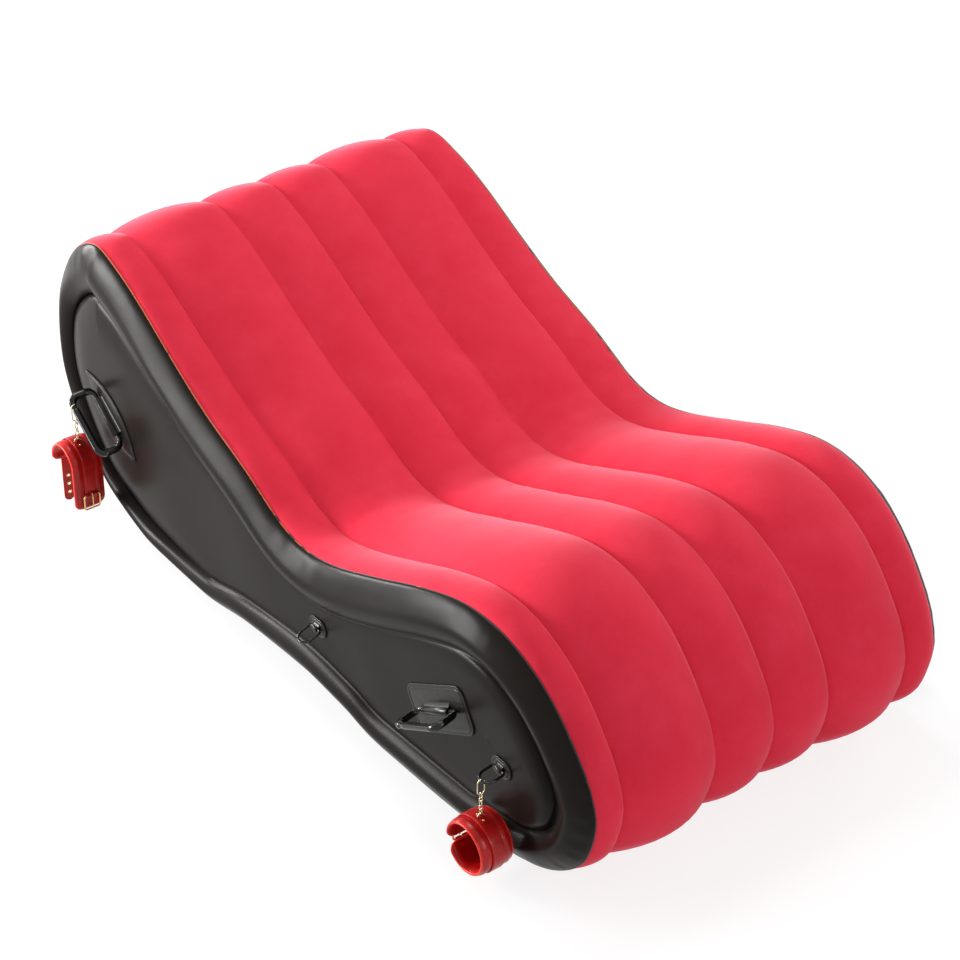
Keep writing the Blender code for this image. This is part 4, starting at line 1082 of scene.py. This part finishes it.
# %% Keepers, D rings and rivets
RIVET = [(0, -0.0004), (0.0019, -0.0004), (0.0019, 0.0001), (0.0015, 0.0006), (0.0008, 0.0009), (0, 0.0010)]
for end, label, kind in CUFFS:
    body = f"{end}_cuff_{label}"
    pin, top = pivot_of(f"{end}_cuff_{label}_swing"), cuff_top(end, label)
    radius, shift = kind[0], kind[3]

    def strap_top(u):
        return math.sqrt(radius * radius - (u - shift) ** 2) - math.sqrt(radius * radius - shift * shift)

    rows = [(u, strap_top(u) + 0.0005) for u in (-0.0105, -0.0088, -0.0068, -0.0048)]
    rows += arc(0, 0.0018, 0.0021, 195, -15, 10)
    rows += [(u, strap_top(u) + 0.0005) for u in (0.0048, 0.0068, 0.0088, 0.0105)]
    shape = sweep(cuff_frames(top, rows), oval_section(0.0044, 0.00062, 12, 0.4))
    made = piece(f"{body}_keeper", shape, leatherette, body, sharp=50)
    heads = []
    for u in (-0.0079, 0.0079):
        tilt = math.asin((u - shift) / radius)
        axes = Matrix.Translation(top + Vector((u, 0, strap_top(u) + 0.0010))) @ Matrix.Rotation(tilt, 4, "Y")
        heads.append(turned(RIVET, axes, 20))
    made = piece(f"{body}_rivets", gathered(heads), gold_plate, body, sharp=50)
    foot = 0.0012 + 0.0018 - RING_RISE
    outline = arc(0, -0.0065, 0.0065, 0, 180, 14) + arc(-0.0053, foot, 0.0012, 180, 270, 4)
    outline += arc(0.0053, foot, 0.0012, 270, 360, 4)
    points = [pin + Vector((0, u, v)) for u, v in spread_out(outline, 0.002)]
    shape = sweep(flat_frames(points, Vector((1, 0, 0)), closed=True), oval_section(WIRE, WIRE, 10), closed=True)
    made = piece(f"{body}_d_ring_wire", shape, steel_wire, body, f"{end}_cuff_d_ring_{label}", sharp=60)
print("D ring faces", len(made.data.polygons))

# %% [markdown]
# ## Buckles
# A plain rectangular frame of gold-plated wire turns the strap back on itself. Its prong is one bent wire: an eye
# round the frame's bar and a stem that comes to rest on the far side. Both are sweeps, and the stem gets thinner
# towards its tip.

# %% Buckles
BUCKLE_WIRE, BUCKLE_HALF, PRONG = 0.0016, 0.0155, 0.0011
for end, label, kind in CUFFS:
    body, prong_body = f"{end}_cuff_{label}", f"{end}_cuff_prong_{label}"
    bar = pivot_of(f"{end}_cuff_prong_{label}_hinge")
    start = math.radians(kind[1])
    away = start - (BUCKLE / (2 * kind[0]) if kind is CLOSED else 0)
    out, along = Vector((math.cos(away), 0, math.sin(away))), Vector((math.sin(away), 0, -math.cos(away)))
    axes = Matrix((along, out.cross(along), out)).transposed().to_4x4()
    axes.translation = bar
    line = spread_out(rounded_box(BUCKLE / 2, BUCKLE_HALF, 0.004), 0.003)
    points = [axes @ Vector((u + BUCKLE / 2, v, 0)) for u, v in line]
    section = oval_section(BUCKLE_WIRE * 0.85, BUCKLE_WIRE, 12, 0.8)
    shape = sweep(flat_frames(points, out, closed=True), section, closed=True)
    made = piece(f"{body}_buckle_frame", shape, gold_plate, body, f"{end}_cuff_buckle_{label}", sharp=60)
    lying = axes @ Matrix.Rotation(math.pi / 2, 4, "X")
    folds = []
    for middle in (-0.0067, 0.0067):
        rows = [(0.0020, -0.0042), (0.0029, -0.0042), (0.0032, -0.0037)]
        rows += [(radius, -height) for radius, height in reversed(rows)]
        folds.append(turned([(radius, middle + height) for radius, height in rows], lying, 24))
    made = piece(f"{body}_fold", gathered(folds), leatherette, body, sharp=50)
    eye = BUCKLE_WIRE + 0.0004 + PRONG
    turns = [math.radians(a) for a in range(0, 360, 18)]
    ring = [axes @ Vector((eye * math.cos(t), 0, eye * math.sin(t))) for t in turns]
    sideways = axes.to_3x3() @ Vector((0, 1, 0))
    loop = sweep(flat_frames(ring, sideways, closed=True), oval_section(PRONG, PRONG, 10), closed=True)
    stem = [axes @ Vector((BUCKLE * 1.03 * t, 0, eye - 0.0004 * t * t)) for t in [k / 12 for k in range(13)]]
    rod = sweep(flat_frames(stem, sideways),
                lambda i: oval_section(PRONG * (1 - 0.025 * i), PRONG * (0.95 - 0.03 * i), 10))
    piece(f"{prong_body}_wire", gathered([loop, rod]), gold_plate, prong_body, prong_body, sharp=60)
print("buckle frame", 2 * BUCKLE_HALF, "by", BUCKLE)

# %% [markdown]
# ## The air valve
# The valve sits low in the far side: a welded flange with a short neck, a flap inside that keeps the air in, and a
# cap on a lug. Each is a turned part, so its profile is spun about the valve's axis.

# %% Valve
def lifted(height, profile):
    """A profile of (radius, height) lifted as a whole."""
    return [(radius, height + more) for radius, more in profile]


seat_frame = on_side((-0.16, 0.33), 0, 1)
flange_top = GAP + 0.003
flange = lifted(flange_top, [
    (0.0065, 0.0004), (0.0085, 0.0004), (0.0092, 0), (0.0150, 0), (0.0158, -0.0005), (0.0166, -0.0005),
    (0.0174, 0), (0.0208, 0), (0.0216, -0.0004), (0.0220, -0.0012),
])
neck = [(0.0220, GAP), (0.0095, GAP), (0.0095, -0.0132), (0.0089, -0.014), (0.0065, -0.014)]
piece("valve_base_turned", turned(flange + neck, seat_frame, 56), valve_pvc, "bed", "valve_base", sharp=35)

disc = [(0, 0), (0.0074, 0), (0.0077, 0.0003), (0.0077, 0.0012), (0.0074, 0.0015), (0, 0.0015)]
shape = turned(lifted(-0.014 - GAP - 0.0015, disc), seat_frame, 40)
piece("valve_flap_turned", shape, valve_pvc, "valve_flap", "valve_flap", sharp=35)
print("flange", 2 * 0.022, "wide")

# %% Valve cap
cap_low, cap_top = flange_top + GAP + 0.0004, flange_top + GAP + 0.0035
plug = lifted(cap_low, [(0, -0.0034), (0.0052, -0.0034), (0.0058, -0.0028), (0.0058, 0), (0.0114, 0), (0.0120, 0.0006)])
lid = lifted(cap_top, [(0.0120, -0.0008), (0.0113, 0), (0.0090, 0), (0.0084, -0.0006), (0, -0.0004)])
lug_frame = seat_frame @ Matrix.Translation((0, 0.0148, 0))
lug_steps = [(cap_low + GAP, cap_top - cap_low - 0.0012), (0.0003, 0.0003), (0.0005, 0.0001)]
lug = blank(rounded_box(0.0034, 0.0042, 0.0012, 4), lug_frame, lug_steps)
shape = gathered([turned(plug + lid, seat_frame, 48), lug])
made = piece("valve_cap_turned", shape, valve_pvc, "valve_cap", "valve_cap", sharp=35)
print("valve cap faces", len(made.data.polygons))

# %% [markdown]
# ## The webs inside
# Five upright sheets hold the rib seams down to the bottom. They can't be seen from outside, but the part is opened
# and cut up by others, so they are there. Each is the outline's own shape, a little smaller, with air holes. The
# outline and the holes are loose edges first, and one operator fills the space between them.

# %% Webs
HOLES = ((-0.29, 0.42), (-0.10, 0.31), (0.25, 0.38))
for number, share in enumerate(RIB_SEAMS[1:-1], 1):
    shape = bmesh.new()
    y = share * WIDTH / 2
    line = [rim[k] - outward[k] * 0.0025 for k in range(0, COUNT, 3)]
    ring = bmesh.ops.create_circle(shape, segments=len(line), radius=1)["verts"]
    for vert, spot in zip(ring, line):
        vert.co = (spot.x, y, max(spot.z, 0.0025))
    for x, z in HOLES:
        turn = Matrix.Translation((x * LENGTH, y, z * HEIGHT)) @ Matrix.Rotation(math.pi / 2, 4, "X")
        bmesh.ops.create_circle(shape, segments=40, radius=0.032, matrix=turn)
    bmesh.ops.triangle_fill(shape, edges=shape.edges, use_beauty=True)
    made = piece(f"inner_web_{number}_sheet", shape, web_pvc, "bed", f"inner_web_{number}")
    film(made, 0.0008, offset=0)
print("web faces", len(made.data.polygons))

# %% [markdown]
# ## Floor, backdrop and light
# The photograph has a pure white ground. The floor is a real white plane that the camera sees as plain white,
# while its shadows stay: the shader mixes toward white light only by how the ray reached it. A large soft lamp
# hangs over the head end. Three low ones on the near side make the long highlights on the black tube and pillow,
# and two wide ones fill the foot end and the far side.

# %% Floor
def looked_at(tree):
    """1 for a ray that shows a picture of the room: from the camera, off a shiny face or through a clear one."""
    path = node(tree, "LightPath")
    seen = path.outputs["Is Camera Ray"]
    for kind in ("Is Glossy Ray", "Is Transmission Ray"):
        seen = node(tree, "Math", {"operation": "MAXIMUM"}, {0: seen, 1: path.outputs[kind]}).outputs[0]
    return seen


def white_ground(name, strength):
    made = bpy.data.materials.new(name)
    made.use_nodes = True
    tree = made.node_tree
    tree.nodes.clear()
    plain = node(tree, "BsdfDiffuse", {"Color": ink("#E8E8E8")})
    faint = node(tree, "BsdfDiffuse", {"Color": ink("#8A8A8A")})
    bright = node(tree, "Emission", {"Color": (1, 1, 1, 1), "Strength": strength})
    both = node(tree, "AddShader", None, {0: faint.outputs[0], 1: bright.outputs[0]})
    mixed = node(tree, "MixShader", None, {0: looked_at(tree), 1: plain.outputs[0], 2: both.outputs[0]})
    node(tree, "OutputMaterial", None, {"Surface": mixed.outputs[0]})
    return made


shape = bmesh.new()
bmesh.ops.create_grid(shape, x_segments=1, y_segments=1, size=14)
mesh = bpy.data.meshes.new("studio_floor")
shape.to_mesh(mesh)
shape.free()
mesh.materials.append(white_ground("white_floor", 0.80))
ground = bpy.data.objects.new("studio_floor", mesh)
bpy.context.scene.collection.objects.link(ground)
ground.location.z = -0.0005
print("floor size", tuple(round(v) for v in ground.dimensions))

# %% World
world = bpy.data.worlds.new("studio")
bpy.context.scene.world = world
world.use_nodes = True
tree = world.node_tree
tree.nodes.clear()
soft = node(tree, "Background", {"Color": ink("#FFFFFF"), "Strength": 0.30})
plain = node(tree, "Background", {"Color": ink("#FFFFFF"), "Strength": 1.0})
mixed = node(tree, "MixShader", None, {0: looked_at(tree), 1: soft.outputs[0], 2: plain.outputs[0]})
node(tree, "OutputWorld", None, {"Surface": mixed.outputs[0]})
bpy.context.scene.view_settings.view_transform = "Standard"
print("world", world.name)

# %% Lamps
def lamp(name, place, aim, size, power):
    data = bpy.data.lights.new(name, "AREA")
    data.shape = "RECTANGLE"
    data.size, data.size_y = size
    data.energy = power
    made = bpy.data.objects.new(name, data)
    bpy.context.scene.collection.objects.link(made)
    made.location = place
    made.rotation_mode = "QUATERNION"
    made.rotation_quaternion = (Vector(aim) - Vector(place)).to_track_quat("-Z", "Y")


lamp("window_light", (-2.3, -2.55, 1.05), (-0.1, -0.35, 0.25), (1.1, 0.55), 110)
lamp("top_light", (-1.1, 0.2, 3.2), (0, 0, 0.2), (1.5, 1.5), 56)
lamp("head_light", (-2.5, -0.95, 0.7), (-0.6, -0.35, 0.35), (0.6, 0.5), 30)
lamp("pillow_light", (-1.4, -2.7, 0.5), (-0.55, -0.37, 0.3), (0.8, 0.6), 44)
lamp("fill_light", (3.0, 0.2, 1.5), (0.3, 0, 0.3), (1.8, 1.2), 27)
lamp("far_side_light", (-0.4, 3.2, 1.3), (0, 0.4, 0.25), (2.2, 0.9), 34)
print("lamps", len(bpy.data.lights))
